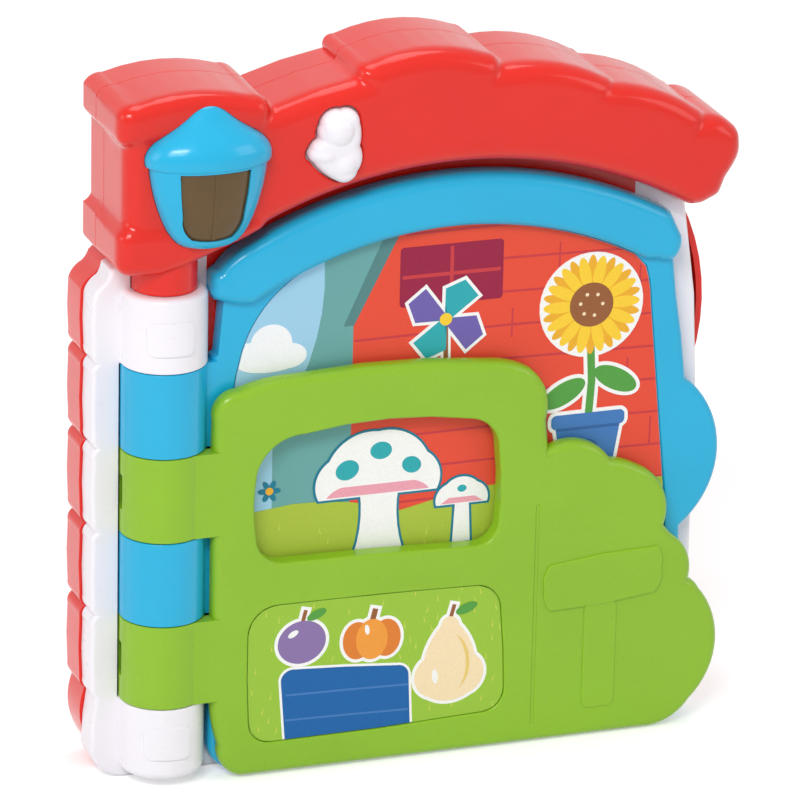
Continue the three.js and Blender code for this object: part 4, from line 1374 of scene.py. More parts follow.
@dataclass
class BluePage:
    """Blue inner page with its arched band, picture recesses and two knuckles."""

    plan: BookPlan
    bench: Bench
    front: float = -6.2
    thick: float = 7.6
    band_front: float = -10.4
    band_width: float = 19.7
    left: float = 16.8
    right: float = 202.0
    bottom: float = 1.0

    @property
    def back(self) -> float:
        """Gives the y of the back face."""
        return self.front + self.thick

    @property
    def arch(self) -> float:
        """Gives the radius of the page's upper edge."""
        return self.plan.arch_r - 5.3

    @property
    def shoulder(self) -> float:
        """Gives the height of the right-hand end of the band."""
        return self.plan.arch_foot - 12

    def eave(self) -> list[Leg]:
        """Gives the legs of the band's left-hand end."""
        top = self.plan.column_top
        return [(18.9, top + 6.6, 1.3), (15.8, top + 0.8, 1.3)]

    def loop(self) -> list[Point]:
        """Draws the page."""
        p = self.plan
        return trace(
            (self.left + 11, self.bottom), (self.right - 12, self.bottom),
            quarter(self.right, self.bottom + 12, 12), (self.right, 78),
            (self.right, 137, 14.3), (197.2, self.shoulder - 23, 0.4),
            (195.6, self.shoulder - 9), (197.2, self.shoulder, 0.6),
            *p.arch_run(self.arch, 192.5, 30), *self.eave(),
            (17.4, p.column_top - 4, 0.8), (self.left + 0.2, p.column_top - 7),
            (self.left, self.bottom + 11), quarter(self.left + 11, self.bottom, 11),
        )

    def band_loop(self) -> list[Point]:
        """Draws the raised band."""
        p = self.plan
        return trace(
            (188, self.shoulder - 8), (194.6, self.shoulder - 8.6, 0.8),
            (197.2, self.shoulder, 1.2), *p.arch_run(self.arch, 192.5, 30),
            *self.eave(), (18.6, p.column_top - 4.8, 1.3),
            (31, p.column_top - 7, 0.6), *p.arch_run(self.arch - self.band_width, 36, 183),
        )

    def notch_loop(self) -> list[Point]:
        """Draws the notch beside the upper end knuckle."""
        low, high = self.plan.seam(4) + 1.4, self.plan.column_top - 5
        return trace((0, low), (17.6, low), (18.8, low + 1.6, 0.4), (20.6, high), (0, high))

    def picture_loop(self) -> list[Point]:
        """Draws the recess of the picture card."""
        p = self.plan
        return trace(
            (34, 12), (184, 12), quarter(195, 23, 11), (195.2, 89),
            (187, self.shoulder - 25), (184.5, self.shoulder - 11, 0.5),
            *p.arch_run(self.arch - self.band_width, 180, 54), (27.6, p.column_top - 26, 4.4),
            (24, p.column_top - 52, 0.9), (24, 22), quarter(34, 12, 10),
        )

    def build(self) -> None:
        """Builds the page."""
        p = self.plan
        sweep = p.column_r + GAP + 0.2
        page = plate(self.loop(), self.front, self.back, 2.6, 1.2, 6)
        page = page.plus(plate(self.band_loop(), self.band_front, self.front + 3, 3.9, 0, 8))
        page = page.minus(
            post(sweep, -1, REACH),
            socket(self.picture_loop(), self.front, self.front + RECESS, 0.7),
            socket(self.picture_loop(), self.back, self.back - RECESS, 0.5),
            plate(self.notch_loop(), self.front - 6, self.back + 2),
        )
        for i in (1, 3):
            z0, z1 = p.seam(i) + SPLIT, p.seam(i + 1) - SPLIT
            page = page.plus(
                post(p.column_r, z0, z1, edge=0.5),
                block(4, self.left + 7, self.front, self.back - 0.6, z0, z1),
            )
        page = page.minus(post(p.rod_r + GAP, -1, REACH, 32))
        self.bench.place("blue_page_moulding", page, Body.BLUE, "blue_plastic", ["blue_page"])
        sheet = shrink(self.picture_loop(), GAP)
        seated = RECESS - SPLIT
        for node, low in (
            ("blue_front_card", self.front + seated - CARD), ("blue_back_card", self.back - seated),
        ):
            slot = self.bench.slots[node]
            self.bench.place(
                f"{node}_sheet", plate(sheet, low, low + CARD), Body.BLUE, slot, [node], flat=True
            )


@dataclass
class CoverPage:
    """Green cover page with its window, picture recess and the bush with a signpost in relief."""

    plan: BookPlan
    bench: Bench
    front: float = -13.5
    thick: float = 6.4
    bottom: float = 1.0

    @property
    def back(self) -> float:
        """Gives the y of the back face."""
        return self.front + self.thick

    def loop(self) -> list[Point]:
        """Draws the cover with the bush on its right."""
        low = self.bottom
        return trace(
            (27, low), (186, low - 0.4), (205.6, 9.6, 3), (207.9, 54.6, 9),
            (203.4, 58.8, 0.6), (198.4, 75.6, 2.6), (192.8, 81.8, -0.4), (181.5, 106.6, 5.4),
            (170.4, 110.4, 0.6), (145.6, 117.4, 5), (144.4, 129), (137.4, 149.6, 3.4),
            (124, 154, 0.8), (47, 156, 2.2), (24.6, 152.6, 1), (15.6, 141.4, 3.4),
            (15.4, 130), (15.6, 34), (18.6, 14, 0.8), (27, low, 3),
        )

    def window_loop(self) -> list[Point]:
        """Draws the window through the cover."""
        return trace(
            (42, 84.4), (117, 82.4, -0.4), (126, 90, 2.4), (125.6, 120, 1),
            (115, 132.6, 3), (50, 133.6, 3), (32, 120, 4), (32, 95, 1), (42, 84.4, 2.8),
        )

    def picture_loop(self) -> list[Point]:
        """Draws the recess of the front picture."""
        return trace(
            (38, 13.6), (122, 15.2, 0.6), (130, 24, 2.4), (128, 56, 0.4),
            (119, 66.6, 2.6), (40, 68, 0.4), (29, 57, 3), (29.6, 22, 0.4), (38, 13.6, 2.4),
        )

    def back_picture_loop(self) -> list[Point]:
        """Draws the recess of the back picture."""
        return round_rect(30, 128, 13, 68, 8)

    def sign_loop(self) -> list[Point]:
        """Draws the board of the signpost."""
        return trace(
            (147, 53), (189, 56, 1), (191.5, 66, 1.4), (190, 74.5, 1),
            (147, 71.5, 1), (144.6, 62, 1.4), (147, 53, 1),
        )

    def build(self) -> None:
        """Builds the cover."""
        p = self.plan
        sweep = p.column_r + GAP + 0.2
        front = self.front
        page = plate(self.loop(), front, self.back, 3.2, 1.2, 7)
        page = page.plus(
            plate(round_rect(161, 174, 12, 55, 3), front - 0.6, front + 1, 0.5, 0, 3),
            plate(self.sign_loop(), front - 1, front + 1, 0.8, 0, 4),
        )
        page = page.minus(
            post(sweep, -1, REACH), socket(self.window_loop(), front, self.back + 2, 1.3),
            socket(self.picture_loop(), front, front + RECESS, 0.7),
            socket(self.back_picture_loop(), self.back, self.back - RECESS, 0.5),
            socket(round_rect(140.9, 142.1, 8, 96, 0.55), front, front + 0.28, 0.5),
        )
        for i in (0, 2):
            z0, z1 = p.seam(i) + SPLIT, p.seam(i + 1) - SPLIT
            page = page.plus(
                post(p.column_r, z0, z1, edge=0.5), block(4, 21, front, self.back - 0.6, z0, z1),
            )
            middle = (z0 + z1) / 2
            page = page.minus(block(-17, -13.6, -1.4, 6.4, middle - 6.6, middle + 6.6, 0.6))
        page = page.minus(post(p.rod_r + GAP, -1, REACH, 32))
        self.bench.place("cover_moulding", page, Body.GREEN, "green_plastic", ["green_page"])


@dataclass
class BatteryBay:
    """Battery door with grip lines and a sunk screw, and the power slider beside it."""

    plan: BookPlan
    bench: Bench
    boss_r: float = 4.4

    def build(self) -> None:
        """Builds door and slider."""
        back = self.plan.case_back
        x0, x1, z0, z1 = self.plan.door
        middle, screw_z = self.plan.door_screw
        skin = round_rect(x0 + GAP, x1 - GAP, z0 + GAP, z1 - GAP, 1.5)
        door = plate(skin, back - 2 + SPLIT, back, 0, 0.45, 4)
        door = door.plus(pin(middle, screw_z, self.boss_r, back - 5, back - 1))
        lines = [
            plate(round_rect(middle - 9, middle + 9, z, z + 1.1, 0.5), back - 0.5, back + 1)
            for z in (z0 + 5 + i * 2.4 for i in range(4))
        ]
        door = door.minus(
            *lines, pin(middle, screw_z, 1.7, back - 6, back + 1),
            socket(oval(middle, screw_z, 3.1), back, back - 3, 0.4),
        )
        self.bench.place("battery_cover", door, Body.DOOR, "red_plastic", ["battery_door"])
        wx, wz = self.plan.switch
        under = back - WALL
        slider = block(wx - 5, wx - 1, under - 1, back + 0.6, wz - 1.6, wz + 1.6, 0.3).plus(
            block(wx - 10, wx + 4, under - 1.8, under - GAP, wz - 3.4, wz + 3.4)
        )
        ribs = [block(wx - 4.4 + i, wx - 4 + i, back + 0.3, back + 2, wz - 2, wz + 2) for i in range(4)]
        self.bench.place(
            "power_slide", slider.minus(*ribs), Body.SLIDER, "black_plastic", ["power_slider"]
        )


@dataclass
class Fasteners:
    """Pan-head screws with cross recesses."""

    plan: BookPlan
    bench: Bench
    head_r: float = 2.8
    shank_r: float = 1.4

    def screw(self, x: float, z: float, seat: float, tip: float) -> Solid:
        """Makes a screw.

        Args:
            x: Its axis.
            z: Its axis.
            seat: y of the face that its head rests on.
            tip: y of its tip.

        Returns:
            The solid.
        """
        low, high = seat + SPLIT, seat + 2.2
        rows = [(low, self.head_r), (low + 0.5, self.head_r)]
        rows += [(low + 0.5 + 1.55 * math.sin(a), 1.1 + 1.7 * math.cos(a)) for a in (0.35, 0.7, 1.05, 1.35)]
        rows.append((high, 0.9))
        rings = [np.insert(np.array(oval(x, z, r, sides=32)), 1, y, axis=1) for y, r in rows]
        shank = pin(x, z, self.shank_r, tip, seat + 1, 20, 0.4)
        arms = [
            block(x - a, x + a, high - 0.9, high + 1, z - b, z + b) for a, b in ((0.35, 1.5), (1.5, 0.35))
        ]
        return Solid.from_rings(rings).plus(shank).minus(arms[0].plus(arms[1]))

    def build(self) -> None:
        """Builds the case, roof and door screws."""
        p = self.plan
        seat = p.parting + 3.4
        rows = [
            (f"case_screw_{i + 1}", *at, seat, p.case_front + 5.4, Body.CASE) for i,
            at in enumerate(p.case_screws())
        ]
        rows += [(f"roof_screw_{i + 1}", *at, seat, 1.0, Body.CASE) for i, at in enumerate(p.roof_screws())]
        rows.append(("door_screw", *p.door_screw, p.case_back - 3, p.case_back - 10, Body.DOOR))
        for name, x, z, head, tip, body in rows:
            self.bench.place(f"{name}_cross_head", self.screw(x, z, head, tip), body, "screw_steel", [name])


class Ink(Enum):
    """Inks of the printed cards."""

    SKY = linear(160, 208, 234)
    CLOUD = linear(247, 248, 250)
    HILL = linear(106, 166, 164)
    EAVE = linear(84, 132, 132)
    FAR_HILL = linear(150, 205, 190)
    BARN = linear(233, 78, 54)
    BARN_LINE = linear(203, 60, 66)
    BARN_DARK = linear(152, 26, 64)
    TIMBER = linear(120, 58, 46)
    GRASS = linear(172, 194, 62)
    GRASS_LINE = linear(204, 214, 84)
    GRASS_DEEP = linear(120, 176, 60)
    MEADOW = linear(156, 198, 62)
    WHITE = linear(250, 249, 247)
    TEAL = linear(44, 170, 178)
    TEAL_DEEP = linear(20, 122, 148)
    VIOLET = linear(112, 96, 172)
    PINK = linear(240, 164, 180)
    YELLOW = linear(252, 208, 56)
    GOLD = linear(240, 176, 44)
    BROWN = linear(150, 92, 52)
    CREAM = linear(250, 226, 186)
    POT = linear(66, 122, 188)
    POT_DEEP = linear(48, 98, 160)
    PLUM = linear(140, 116, 170)
    ORANGE = linear(244, 158, 62)
    ORANGE_DEEP = linear(226, 128, 48)
    LEAF = linear(84, 158, 66)
    NIGHT = linear(18, 98, 168)
    STRAW = linear(238, 206, 120)


@dataclass
class CardPrint:
    """Flat inks laid one over another on a card."""

    bench: Bench
    card: str
    body: Body
    edge: list[Point]
    face: float
    way: float
    inks: dict[Ink, bpy.types.Material]
    lift: float = 0.022
    count: int = 0

    def lay(self, ink: Ink, *loops: Sequence[Point]) -> None:
        """Prints one layer of an ink.

        Args:
            ink: The ink.
            loops: Its areas; they may overlap.
        """
        self.count += 1
        top = self.face + self.way * self.lift * self.count
        y0, y1 = sorted((top, self.face - self.way * 0.15))
        areas = [plate(loop, y0, y1) for loop in loops]
        solid = areas[0].plus(*areas[1:]) if len(areas) > 1 else areas[0]
        solid = solid.within(plate(self.edge, y0 - 1, y1 + 1))
        slot = self.bench.slots[self.card]
        name = f"{self.card}_print_{self.count:02d}_{ink.name.lower()}"
        self.bench.place(name, solid, self.body, slot, (), self.inks[ink], True)


def band(points: Sequence[Point], width: float, tip: float = 1.0) -> list[Point]:
    """Draws a brush stroke along a line.

    Args:
        points: Corners of the line.
        width: Width at its start.
        tip: Share of the width that it keeps at its end.

    Returns:
        The stroke's outline.
    """
    line = np.array(points, float)
    ahead_of = np.gradient(line, axis=0)
    ahead_of /= np.linalg.norm(ahead_of, axis=1, keepdims=True)
    side = np.stack([ahead_of[:, 1], -ahead_of[:, 0]], axis=1)
    half = np.linspace(width / 2, width / 2 * tip, len(line))[:, None]
    loop = np.concatenate([line + side * half, (line - side * half)[::-1]])
    return [tuple(p) for p in loop]


def petals(
    x: float, z: float, count: int, inner: float,
    outer: float, share: float = 0.6, turn: float = 0.0
) -> list:
    """Draws the petals of a flower.

    Args:
        x: Centre.
        z: Centre.
        count: Number of petals.
        inner: Where they begin.
        outer: Where they end.
        share: Width of a petal over its share of the circle.
        turn: Degrees that the flower is turned.

    Returns:
        One loop for each petal.
    """
    middle, half = (inner + outer) / 2, (outer - inner) / 2
    wide = share * math.pi * middle / count
    loops = []
    for i in range(count):
        a = turn + i * 360 / count
        c, s = math.cos(math.radians(a)), math.sin(math.radians(a))
        loops.append(oval(x + middle * c, z + middle * s, half, wide, a, 24))
    return loops


def blades(places: Iterable[Point], height: float, width: float, lean: float) -> list:
    """Draws tufts of grass as pointed blades."""
    return [[(x - width / 2, z), (x + width / 2, z), (x + lean, z + height)] for x, z in places]


@dataclass
class FarmPrints:
    """Plain farm pictures on the five cards."""

    plan: BookPlan
    bench: Bench
    blue: BluePage
    cover: CoverPage
    front: FrontCase
    seed: int = 11

    def __post_init__(self) -> None:
        """Makes the inks."""
        self.inks = {ink: printed(f"ink_{ink.name.lower()}", ink.value).material() for ink in Ink}
        self.draw = random.Random(self.seed)

    def sheet(self, card: str, body: Body, loop: Sequence[Point], pocket: float, way: float) -> CardPrint:
        """Starts the print on a card.

        Args:
            card: Node of the card.
            body: Body that it rides on.
            loop: Outline of its recess.
            pocket: y of the surface that the recess opens in.
            way: -1 for a print that faces the front, 1 for the back.

        Returns:
            The print.
        """
        face = pocket - way * (RECESS - SPLIT - CARD)
        edge = shrink(loop, GAP + 0.15)
        return CardPrint(self.bench, card, body, edge, face, way, self.inks)

    def grass(self, sheet: CardPrint, ink: Ink, area: tuple[float, float, float, float], count: int) -> None:
        """Prints scattered blades of grass over an area."""
        x0, x1, z0, z1 = area
        spots = []
        while len(spots) < count:
            spot = (self.draw.uniform(x0, x1), self.draw.uniform(z0, z1))
            if all(math.hypot(spot[0] - x, spot[1] - z) > 3.4 for x, z in spots):
                spots.append(spot)
        sheet.lay(ink, *(blades([spot], 3.2, 0.55, self.draw.uniform(-0.9, 0.9))[0] for spot in spots))

    def barn_front(self) -> None:
        """Prints the inner page's front: sky, hill, barn wall, window, grass and plants."""
        sheet = self.sheet("blue_front_card", Body.BLUE, self.blue.picture_loop(), self.blue.front, -1)
        sheet.lay(Ink.SKY, WHOLE_CARD)
        sheet.lay(
            Ink.HILL,
            trace((40, 90), (96, 90), (92, 230), (56, 230), (59, 196, 2), (50, 150, -3), (40, 128, -2)),
        )
        sheet.lay(
            Ink.BARN, trace((70, 90), (210, 90), (210, 240), (104, 240), (88, 206), (70.4, 171))
        )
        sheet.lay(Ink.EAVE, trace((66.6, 171), (70.6, 171), (88.4, 206), (104, 240), (98, 240)))
        planks = [band([(71, z), (130, z + 0.3), (210, z - 1.2)], 0.9) for z in range(100, 170, 13)]
        planks += [band([(90, z), (130, z + 0.3), (210, z - 1.2)], 0.9) for z in range(178, 212, 13)]
        uprights = [
            band([(x, z + 0.4), (x + 0.2, z + 11.6)], 0.7)
            for x, z in (
                (150, 100), (142, 124), (188, 112), (100, 136),
                (178, 136), (132, 160), (182, 172), (150, 184)
            )
        ]
        sheet.lay(Ink.BARN_LINE, *planks, *uprights)
        sheet.lay(Ink.BARN_DARK, round_rect(88, 128, 176, 199, 1.5))
        sheet.lay(Ink.BARN_LINE, band([(89, 187.5), (127, 187.5)], 1.4), band([(108, 177), (108, 198)], 1.4))
        sheet.lay(
            Ink.CLOUD, oval(31, 163, 7, 5.4), oval(39, 167, 8, 7.6), oval(46, 162, 6.6, 4.8),
            oval(38, 160, 12, 3.8)
        )
        sheet.lay(
            Ink.GRASS,
            trace((10, 0), (210, 0), (210, 99), (150, 104, -2), (90, 97, 2), (48, 104, 2), (10, 100))
        )
        self.grass(sheet, Ink.GRASS_LINE, (26, 194, 14, 95), 130)
        flower = petals(39, 110, 6, 0.6, 4.4, 0.8)
        sheet.lay(Ink.TEAL_DEEP, *flower)
        sheet.lay(Ink.GOLD, oval(39, 110, 1.5))
        self.toadstools(sheet)
        self.pinwheel(sheet, 106, 170)
        self.potted_sunflower(sheet, 163, 150)

    def toadstools(self, sheet: CardPrint) -> None:
        """Prints a large and a small pale toadstool with round spots."""
        cap = trace((58, 104), (104, 104), (100, 119, 3), (81, 129, 3.6), (62, 119, 3.6), (58, 104, 3))
        stem = trace((72, 82), (91, 82), (89, 106, -1.4), (74, 106), (72, 82, -1.4))
        small_cap = trace((104, 97), (124, 97), (120, 105, 1.8), (108, 105, 2.6), (104, 97, 1.8))
        small_stem = trace((110.6, 82), (117.6, 82), (116.8, 98), (111.4, 98))
        sheet.lay(Ink.TEAL_DEEP, *(shrink(loop, -0.9) for loop in (cap, stem, small_cap, small_stem)))
        sheet.lay(Ink.WHITE, cap, stem, small_cap, small_stem)
        sheet.lay(
            Ink.PINK,
            trace((61, 104.6), (101, 104.6), (95, 108.4, 0.6), (67, 108.4), (61, 104.6, 0.6)),
            trace((105.6, 97.4), (122.4, 97.4), (119, 99.6), (109, 99.6)),
        )
        sheet.lay(
            Ink.TEAL, oval(69, 115, 4.6, 3.8, 20),
            oval(82, 121.4, 4.2, 3.4), oval(94, 114.6, 3.8, 3.2, -20), oval(114, 103, 1.8, 1.4),
        )

    def pinwheel(self, sheet: CardPrint, x: float, z: float) -> None:
        """Prints a toy windmill of four sails on a stick."""
        sails = []
        for i in range(4):
            a = math.radians(45 + 90 * i)
            c, s = math.cos(a), math.sin(a)
            corners = [(0.6, -1.2), (14.5, -3.2), (15.5, 5.2), (8.2, 8.6), (0.6, 1.2)]
            sails.append([(x + c * u - s * v, z + s * u + c * v) for u, v in corners])
        stick = band([(x, z), (x + 0.6, z - 30)], 1.8)
        sheet.lay(Ink.WHITE, *(shrink(sail, -1.2) for sail in sails), shrink(stick, -1.0))
        sheet.lay(Ink.BROWN, stick)
        sheet.lay(Ink.TEAL, sails[0], sails[2])
        sheet.lay(Ink.VIOLET, sails[1], sails[3])
        folds = [
            [(x + (u - x) * 0.5, z + (v - z) * 0.5) for u, v in (sail[0], sail[3], sail[4])] for sail in sails
        ]
        sheet.lay(Ink.TEAL_DEEP, *folds)
        sheet.lay(Ink.YELLOW, oval(x, z, 2.4))

    def potted_sunflower(self, sheet: CardPrint, x: float, z: float) -> None:
        """Prints a large sunflower in a blue pot."""
        head = (x, z + 20)
        leaves = [oval(x - 10, z - 14, 9.4, 4.2, 28, 30), oval(x + 10.4, z - 10, 9.4, 4.2, -28 + 180, 30)]
        stem = band([(x, z + 8), (x + 1, z - 10), (x, z - 26)], 3.0)
        pot = trace((x - 10, z - 44), (x + 10, z - 44), (x + 13, z - 26), (x - 13, z - 26))
        rim = round_rect(x - 14.5, x + 14.5, z - 28, z - 22.4, 2)
        ring = petals(*head, 14, 6, 19, 0.8)
        outer = [oval(*head, 20.4), *(shrink(loop, -1.4) for loop in (*leaves, stem, pot, rim))]
        sheet.lay(Ink.WHITE, *outer)
        sheet.lay(Ink.LEAF, *leaves, stem)
        sheet.lay(Ink.GOLD, *petals(*head, 14, 6, 19.4, 0.7, 12.9))
        sheet.lay(Ink.YELLOW, *ring)
        sheet.lay(Ink.BROWN, oval(*head, 8.6))
        sheet.lay(
            Ink.CREAM,
            *(oval(head[0] + 4.4 * math.cos(a), head[1] + 4.4 * math.sin(a), 0.7, sides=12) for a in range(6))
        )
        sheet.lay(Ink.POT, pot, rim)
        sheet.lay(
            Ink.POT_DEEP, band([(x - 12.4, z - 28.2), (x + 12.4, z - 28.2)], 1.2),
            oval(x, z - 36, 4.2, 3.2)
        )

    def vegetable_bed(self) -> None:
        """Prints the cover's lower card: grass, fruit and an empty blue corner field."""
        sheet = self.sheet("cover_card", Body.GREEN, self.cover.picture_loop(), self.cover.front, -1)
        sheet.lay(Ink.MEADOW, [(20, 5), (140, 5), (140, 80), (20, 80)])
        self.grass(sheet, Ink.GRASS_LINE, (30, 128, 15, 66), 95)
        plum = oval(50, 52, 9.4, 8.4, 12)
        squash = [oval(71.6, 50, 5.6, 7.4), oval(83, 50, 5.6, 7.4), oval(77.3, 50, 6.2, 8)]
        pear = trace(
            (100, 24), (116, 24, 2.4), (118, 39, 4.6), (111.4, 52, 1),
            (104.6, 52, 3.4), (98, 39, 1), (100, 24, 4.6)
        )
        stalks = [
            band([(50, 59), (51.4, 64.6)], 1.5), band([(77.3, 56.6), (78.6, 62)], 2.2),
            band([(108, 54), (109.6, 60)], 1.5)
        ]
        sheet.lay(Ink.WHITE, *(shrink(loop, -1.3) for loop in (plum, *squash, pear, *stalks)))
        sheet.lay(Ink.BROWN, *stalks)
        sheet.lay(Ink.PLUM, plum)
        sheet.lay(Ink.ORANGE_DEEP, squash[0], squash[1])
        sheet.lay(Ink.ORANGE, squash[2])
        sheet.lay(Ink.CREAM, pear)
        sheet.lay(Ink.LEAF, oval(55.6, 62.4, 4, 1.7, 24, 24), oval(114.4, 58, 4.4, 1.9, 20, 24))
        sheet.lay(Ink.STRAW, trace((112, 26), (115.8, 38, 1.6), (110.4, 48, 1.4), (112, 26, -3.4)))
        sheet.lay(
            Ink.WHITE, oval(46.6, 55.6, 2.2, 1.1, 30, 20),
            oval(75.4, 54, 0.9, 2, 8, 20), oval(102.4, 32, 1.1, 3, 6, 20)
        )
        crate = trace((44, 12), (93, 12), (92, 34), (87.4, 38.4, 1.4), (47, 41.6, 0.3), (42, 37.4, 1.4))
        sheet.lay(Ink.WHITE, shrink(crate, -0.9))
        sheet.lay(Ink.NIGHT, crate)
        sheet.lay(Ink.POT, *(band([(44, z), (68, z - 0.6), (92, z - 1.4)], 0.8) for z in (21.6, 31.6)))

    def barn_inside(self) -> None:
        """Prints the case's card: the inside of a barn with straw and a round window."""
        sheet = self.sheet("case_card", Body.CASE, self.front.picture_loop(), self.plan.case_front, -1)
        sheet.lay(Ink.TIMBER, WHOLE_CARD)
        sheet.lay(Ink.BARN, *(band([(x, 4), (x, 236)], 9.6) for x in range(41, 190, 11)))
        sheet.lay(Ink.BROWN, band([(20, 120), (200, 120)], 8), band([(30, 118), (110, 196), (196, 118)], 7))
        sheet.lay(Ink.CREAM, oval(110, 158, 19))
        sheet.lay(Ink.SKY, oval(110, 158, 16))
        sheet.lay(Ink.BROWN, band([(94, 158), (126, 158)], 2.2), band([(110, 142), (110, 174)], 2.2))
        sheet.lay(
            Ink.STRAW,
            trace(
                (10, 0), (210, 0), (210, 52), (170, 66, 6),
                (128, 44, 5), (84, 58, 6), (44, 46, 5), (10, 62, 4)
            ),
        )
        self.grass(sheet, Ink.GOLD, (30, 190, 14, 50), 90)
        sheet.lay(Ink.LEAF, oval(66, 34, 9, 8), oval(150, 32, 9, 8))

    def back_pictures(self) -> None:
        """Prints the backs of both pages: hills, sun and clouds."""
        blue = self.sheet("blue_back_card", Body.BLUE, self.blue.picture_loop(), self.blue.back, 1)
        blue.lay(Ink.SKY, WHOLE_CARD)
        blue.lay(Ink.YELLOW, oval(52, 168, 13))
        blue.lay(Ink.CLOUD, oval(120, 168, 15, 8), oval(132, 175, 12, 10), oval(146, 168, 13, 7))
        blue.lay(
            Ink.FAR_HILL,
            trace((10, 0), (210, 0), (210, 112), (140, 98, 12), (60, 118, -4), (10, 96, 8))
        )
        blue.lay(Ink.GRASS, trace((10, 0), (210, 0), (210, 70), (110, 84, 6), (10, 58, -6)))
        self.grass(blue, Ink.GRASS_DEEP, (28, 192, 14, 60), 120)
        trunks = [band([(x, 62), (x, 92)], 4.4) for x in (66, 158)]
        blue.lay(Ink.BROWN, *trunks)
        blue.lay(Ink.LEAF, *(oval(x, 104, 15, 17) for x in (66, 158)))
        blue.lay(
            Ink.BARN,
            *(
                oval(x + dx, 104 + dz, 2.1)
                for x in (66, 158)
                for dx, dz in ((-7, 3), (3, 8), (6, -4), (-3, -7))
            )
        )
        back = self.sheet("cover_back_card", Body.GREEN, self.cover.back_picture_loop(), self.cover.back, 1)
        back.lay(Ink.SKY, WHOLE_CARD)
        back.lay(Ink.CLOUD, oval(54, 52, 8, 4.4), oval(61, 55, 6.6, 5.4), oval(69, 52, 7, 4))
        back.lay(Ink.GRASS, trace((10, 0), (210, 0), (210, 32), (90, 38, 3), (10, 28, -2)))
        self.grass(back, Ink.GRASS_DEEP, (32, 126, 14, 30), 60)
        for x, ink in ((48, Ink.BARN), (79, Ink.YELLOW), (110, Ink.VIOLET)):
            back.lay(
                Ink.LEAF, band([(x, 16), (x, 34)], 1.4),
                oval(x - 4, 22, 4.4, 1.7, 30, 20), oval(x + 4, 24, 4.4, 1.7, 150, 20)
            )
            back.lay(ink, *petals(x, 38, 7, 1, 7, 0.85))
            back.lay(Ink.CREAM, oval(x, 38, 2.4))

    def build(self) -> None:
        """Prints all five cards."""
        self.barn_front()
        self.vegetable_bed()
        self.barn_inside()
        self.back_pictures()


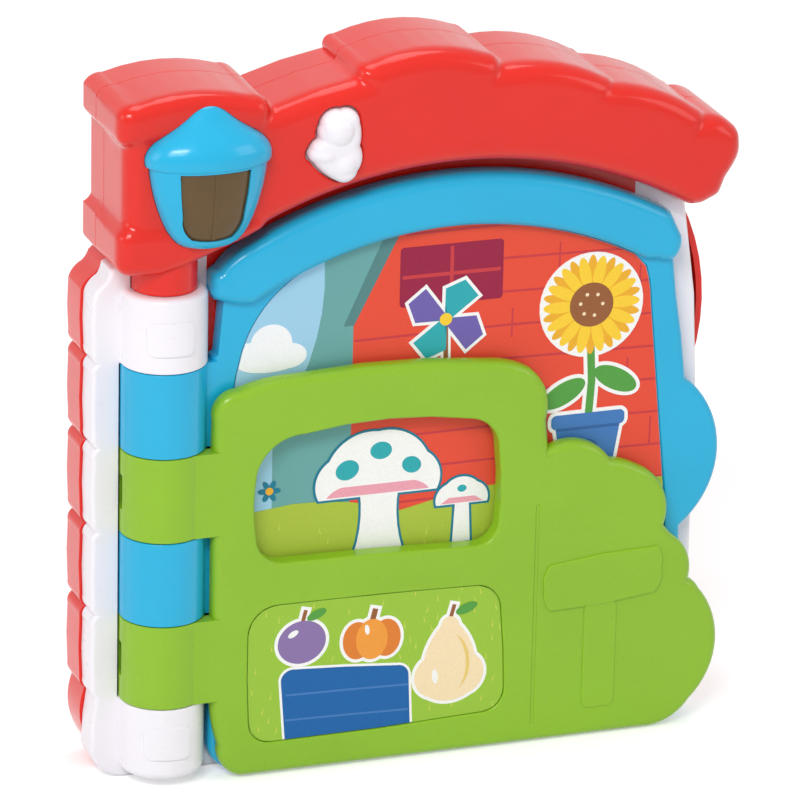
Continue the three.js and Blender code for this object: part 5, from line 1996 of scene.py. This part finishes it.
@dataclass
class Studio:
    """Plain floor, soft lamps, white background and the camera."""

    plan: BookPlan
    target: tuple[float, float, float] = (93.289, 6.080, 135.600)
    azimuth: float = 20.152
    elevation: float = 20.431
    roll: float = 1.267
    distance: float = 2306.96
    lens: float = 282.43
    air: float = 0.34

    def camera(self) -> None:
        """Sets the camera at the photograph's angle."""
        a, e, r = (math.radians(v) for v in (self.azimuth, self.elevation, self.roll))
        right = Vector((math.cos(a), -math.sin(a), 0))
        up = Vector((math.sin(a) * math.sin(e), math.cos(a) * math.sin(e), math.cos(e)))
        way = Vector((math.sin(a) * math.cos(e), math.cos(a) * math.cos(e), -math.sin(e)))
        across = right * math.cos(r) + up * math.sin(r)
        high = up * math.cos(r) - right * math.sin(r)
        target = self.plan.origin + Vector(self.target) * MM
        lens = bpy.data.cameras.new("studio_camera")
        lens.lens = self.lens
        lens.sensor_width = 36
        lens.clip_end = 60
        camera = bpy.data.objects.new("studio_camera", lens)
        turn = Matrix((across, high, -way)).transposed().to_4x4()
        camera.matrix_world = Matrix.Translation(target - way * self.distance * MM) @ turn
        bpy.context.scene.collection.objects.link(camera)
        bpy.context.scene.camera = camera

    def lamp(
        self, name: str, place: tuple[float, float, float], size: tuple[float, float], power: float
    ) -> None:
        """Hangs a soft rectangular lamp that faces the book.

        Args:
            name: Its name.
            place: Where it hangs, in metres.
            size: Width and height in metres.
            power: Watts.
        """
        light = bpy.data.lights.new(name, "AREA")
        light.shape = "RECTANGLE"
        light.size, light.size_y = size
        light.energy = power
        lamp = bpy.data.objects.new(name, light)
        lamp.location = place
        lamp.rotation_euler = (Vector((0, 0, 0.13)) - Vector(place)).to_track_quat("-Z", "Y").to_euler()
        bpy.context.scene.collection.objects.link(lamp)

    @staticmethod
    def seen_rays(tree: bpy.types.NodeTree) -> bpy.types.NodeSocket:
        """Tells whether a ray comes from the camera, directly or by way of gloss or glass.

        Args:
            tree: Node tree to add the nodes to.

        Returns:
            Socket that is 1 for such rays and 0 for others.
        """
        rays = tree.nodes.new("ShaderNodeLightPath")
        seen = rays.outputs["Is Camera Ray"]
        for ray in ("Is Glossy Ray", "Is Transmission Ray"):
            either = tree.nodes.new("ShaderNodeMath")
            either.operation = "MAXIMUM"
            tree.links.new(seen, either.inputs[0])
            tree.links.new(rays.outputs[ray], either.inputs[1])
            seen = either.outputs[0]
        return seen

    def air_light(self) -> None:
        """Makes the even light of the room and the white background."""
        world = bpy.data.worlds.new("studio_air")
        bpy.context.scene.world = world
        world.use_nodes = True
        nodes, links = world.node_tree.nodes, world.node_tree.links
        shown = nodes.new("ShaderNodeBackground")
        shown.inputs["Strength"].default_value = 1.0
        shown.inputs["Color"].default_value = (1, 1, 1, 1)
        room = nodes["Background"]
        room.inputs["Color"].default_value = (1, 1, 1, 1)
        room.inputs["Strength"].default_value = self.air
        mix = nodes.new("ShaderNodeMixShader")
        links.new(self.seen_rays(world.node_tree), mix.inputs["Fac"])
        links.new(room.outputs[0], mix.inputs[1])
        links.new(shown.outputs[0], mix.inputs[2])
        links.new(mix.outputs[0], nodes["World Output"].inputs["Surface"])

    def floor(self) -> None:
        """Lays the pale floor."""
        mesh = bpy.data.meshes.new("studio_floor")
        half = 6.0
        mesh.from_pydata(
            [(-half, -half, 0), (half, -half, 0), (half, half, 0), (-half, half, 0)], [],
            [(0, 1, 2, 3)]
        )
        floor = bpy.data.objects.new("studio_floor", mesh)
        material, shader = fresh_material("studio_floor_paint")
        shader.inputs["Base Color"].default_value = (0.9, 0.9, 0.9, 1)
        tree = material.node_tree
        tree.links.new(Pattern(40.0).between(tree, *FLOOR_ROUGHNESS), shader.inputs["Roughness"])
        lift = tree.nodes.new("ShaderNodeMath")
        lift.operation = "MULTIPLY"
        lift.inputs[1].default_value = FLOOR_LIFT
        tree.links.new(self.seen_rays(tree), lift.inputs[0])
        tree.links.new(lift.outputs[0], shader.inputs["Emission Strength"])
        shader.inputs["Emission Color"].default_value = (1, 1, 1, 1)
        mesh.materials.append(material)
        bpy.context.scene.collection.objects.link(floor)

    def build(self) -> None:
        """Sets up floor, lamps, background and camera."""
        bpy.context.scene.view_settings.view_transform = "Standard"
        self.camera()
        self.air_light()
        self.floor()
        self.lamp("key_lamp", (-1.2, -1.7, 1.8), (1.2, 0.9), 20)
        self.lamp("strip_lamp", (-1.3, -2.0, 2.3), (1.3, 0.1), 20)
        self.lamp("side_lamp", (-2.2, -0.2, 0.9), (1.0, 1.2), 7)
        self.lamp("fill_lamp", (1.9, -1.5, 1.1), (1.2, 1.2), 8)
        self.lamp("top_lamp", (0.2, 0.2, 2.3), (1.2, 1.2), 14)


def main() -> None:
    """Builds the book piece by piece."""
    plan = BookPlan.from_frame()
    finishes = Finishes()
    finishes.dress_frame()
    bench = Bench(finishes, plan.origin)
    lantern = Lantern(plan, bench)
    front, blue, cover = FrontCase(plan, bench), BluePage(plan, bench), CoverPage(plan, bench)
    sections = (
        RearCase(plan, bench), front, Roof(plan, bench, lantern), lantern,
        BirdButton(plan, bench), blue, cover, BatteryBay(plan, bench),
        Fasteners(plan, bench), FarmPrints(plan, bench, blue, cover, front), Studio(plan),
    )
    for section in sections:
        section.build()
        log.info("%s done", type(section).__name__)


if __name__ == "__main__":
    logging.basicConfig(level=logging.INFO, format="%(message)s")
    main()
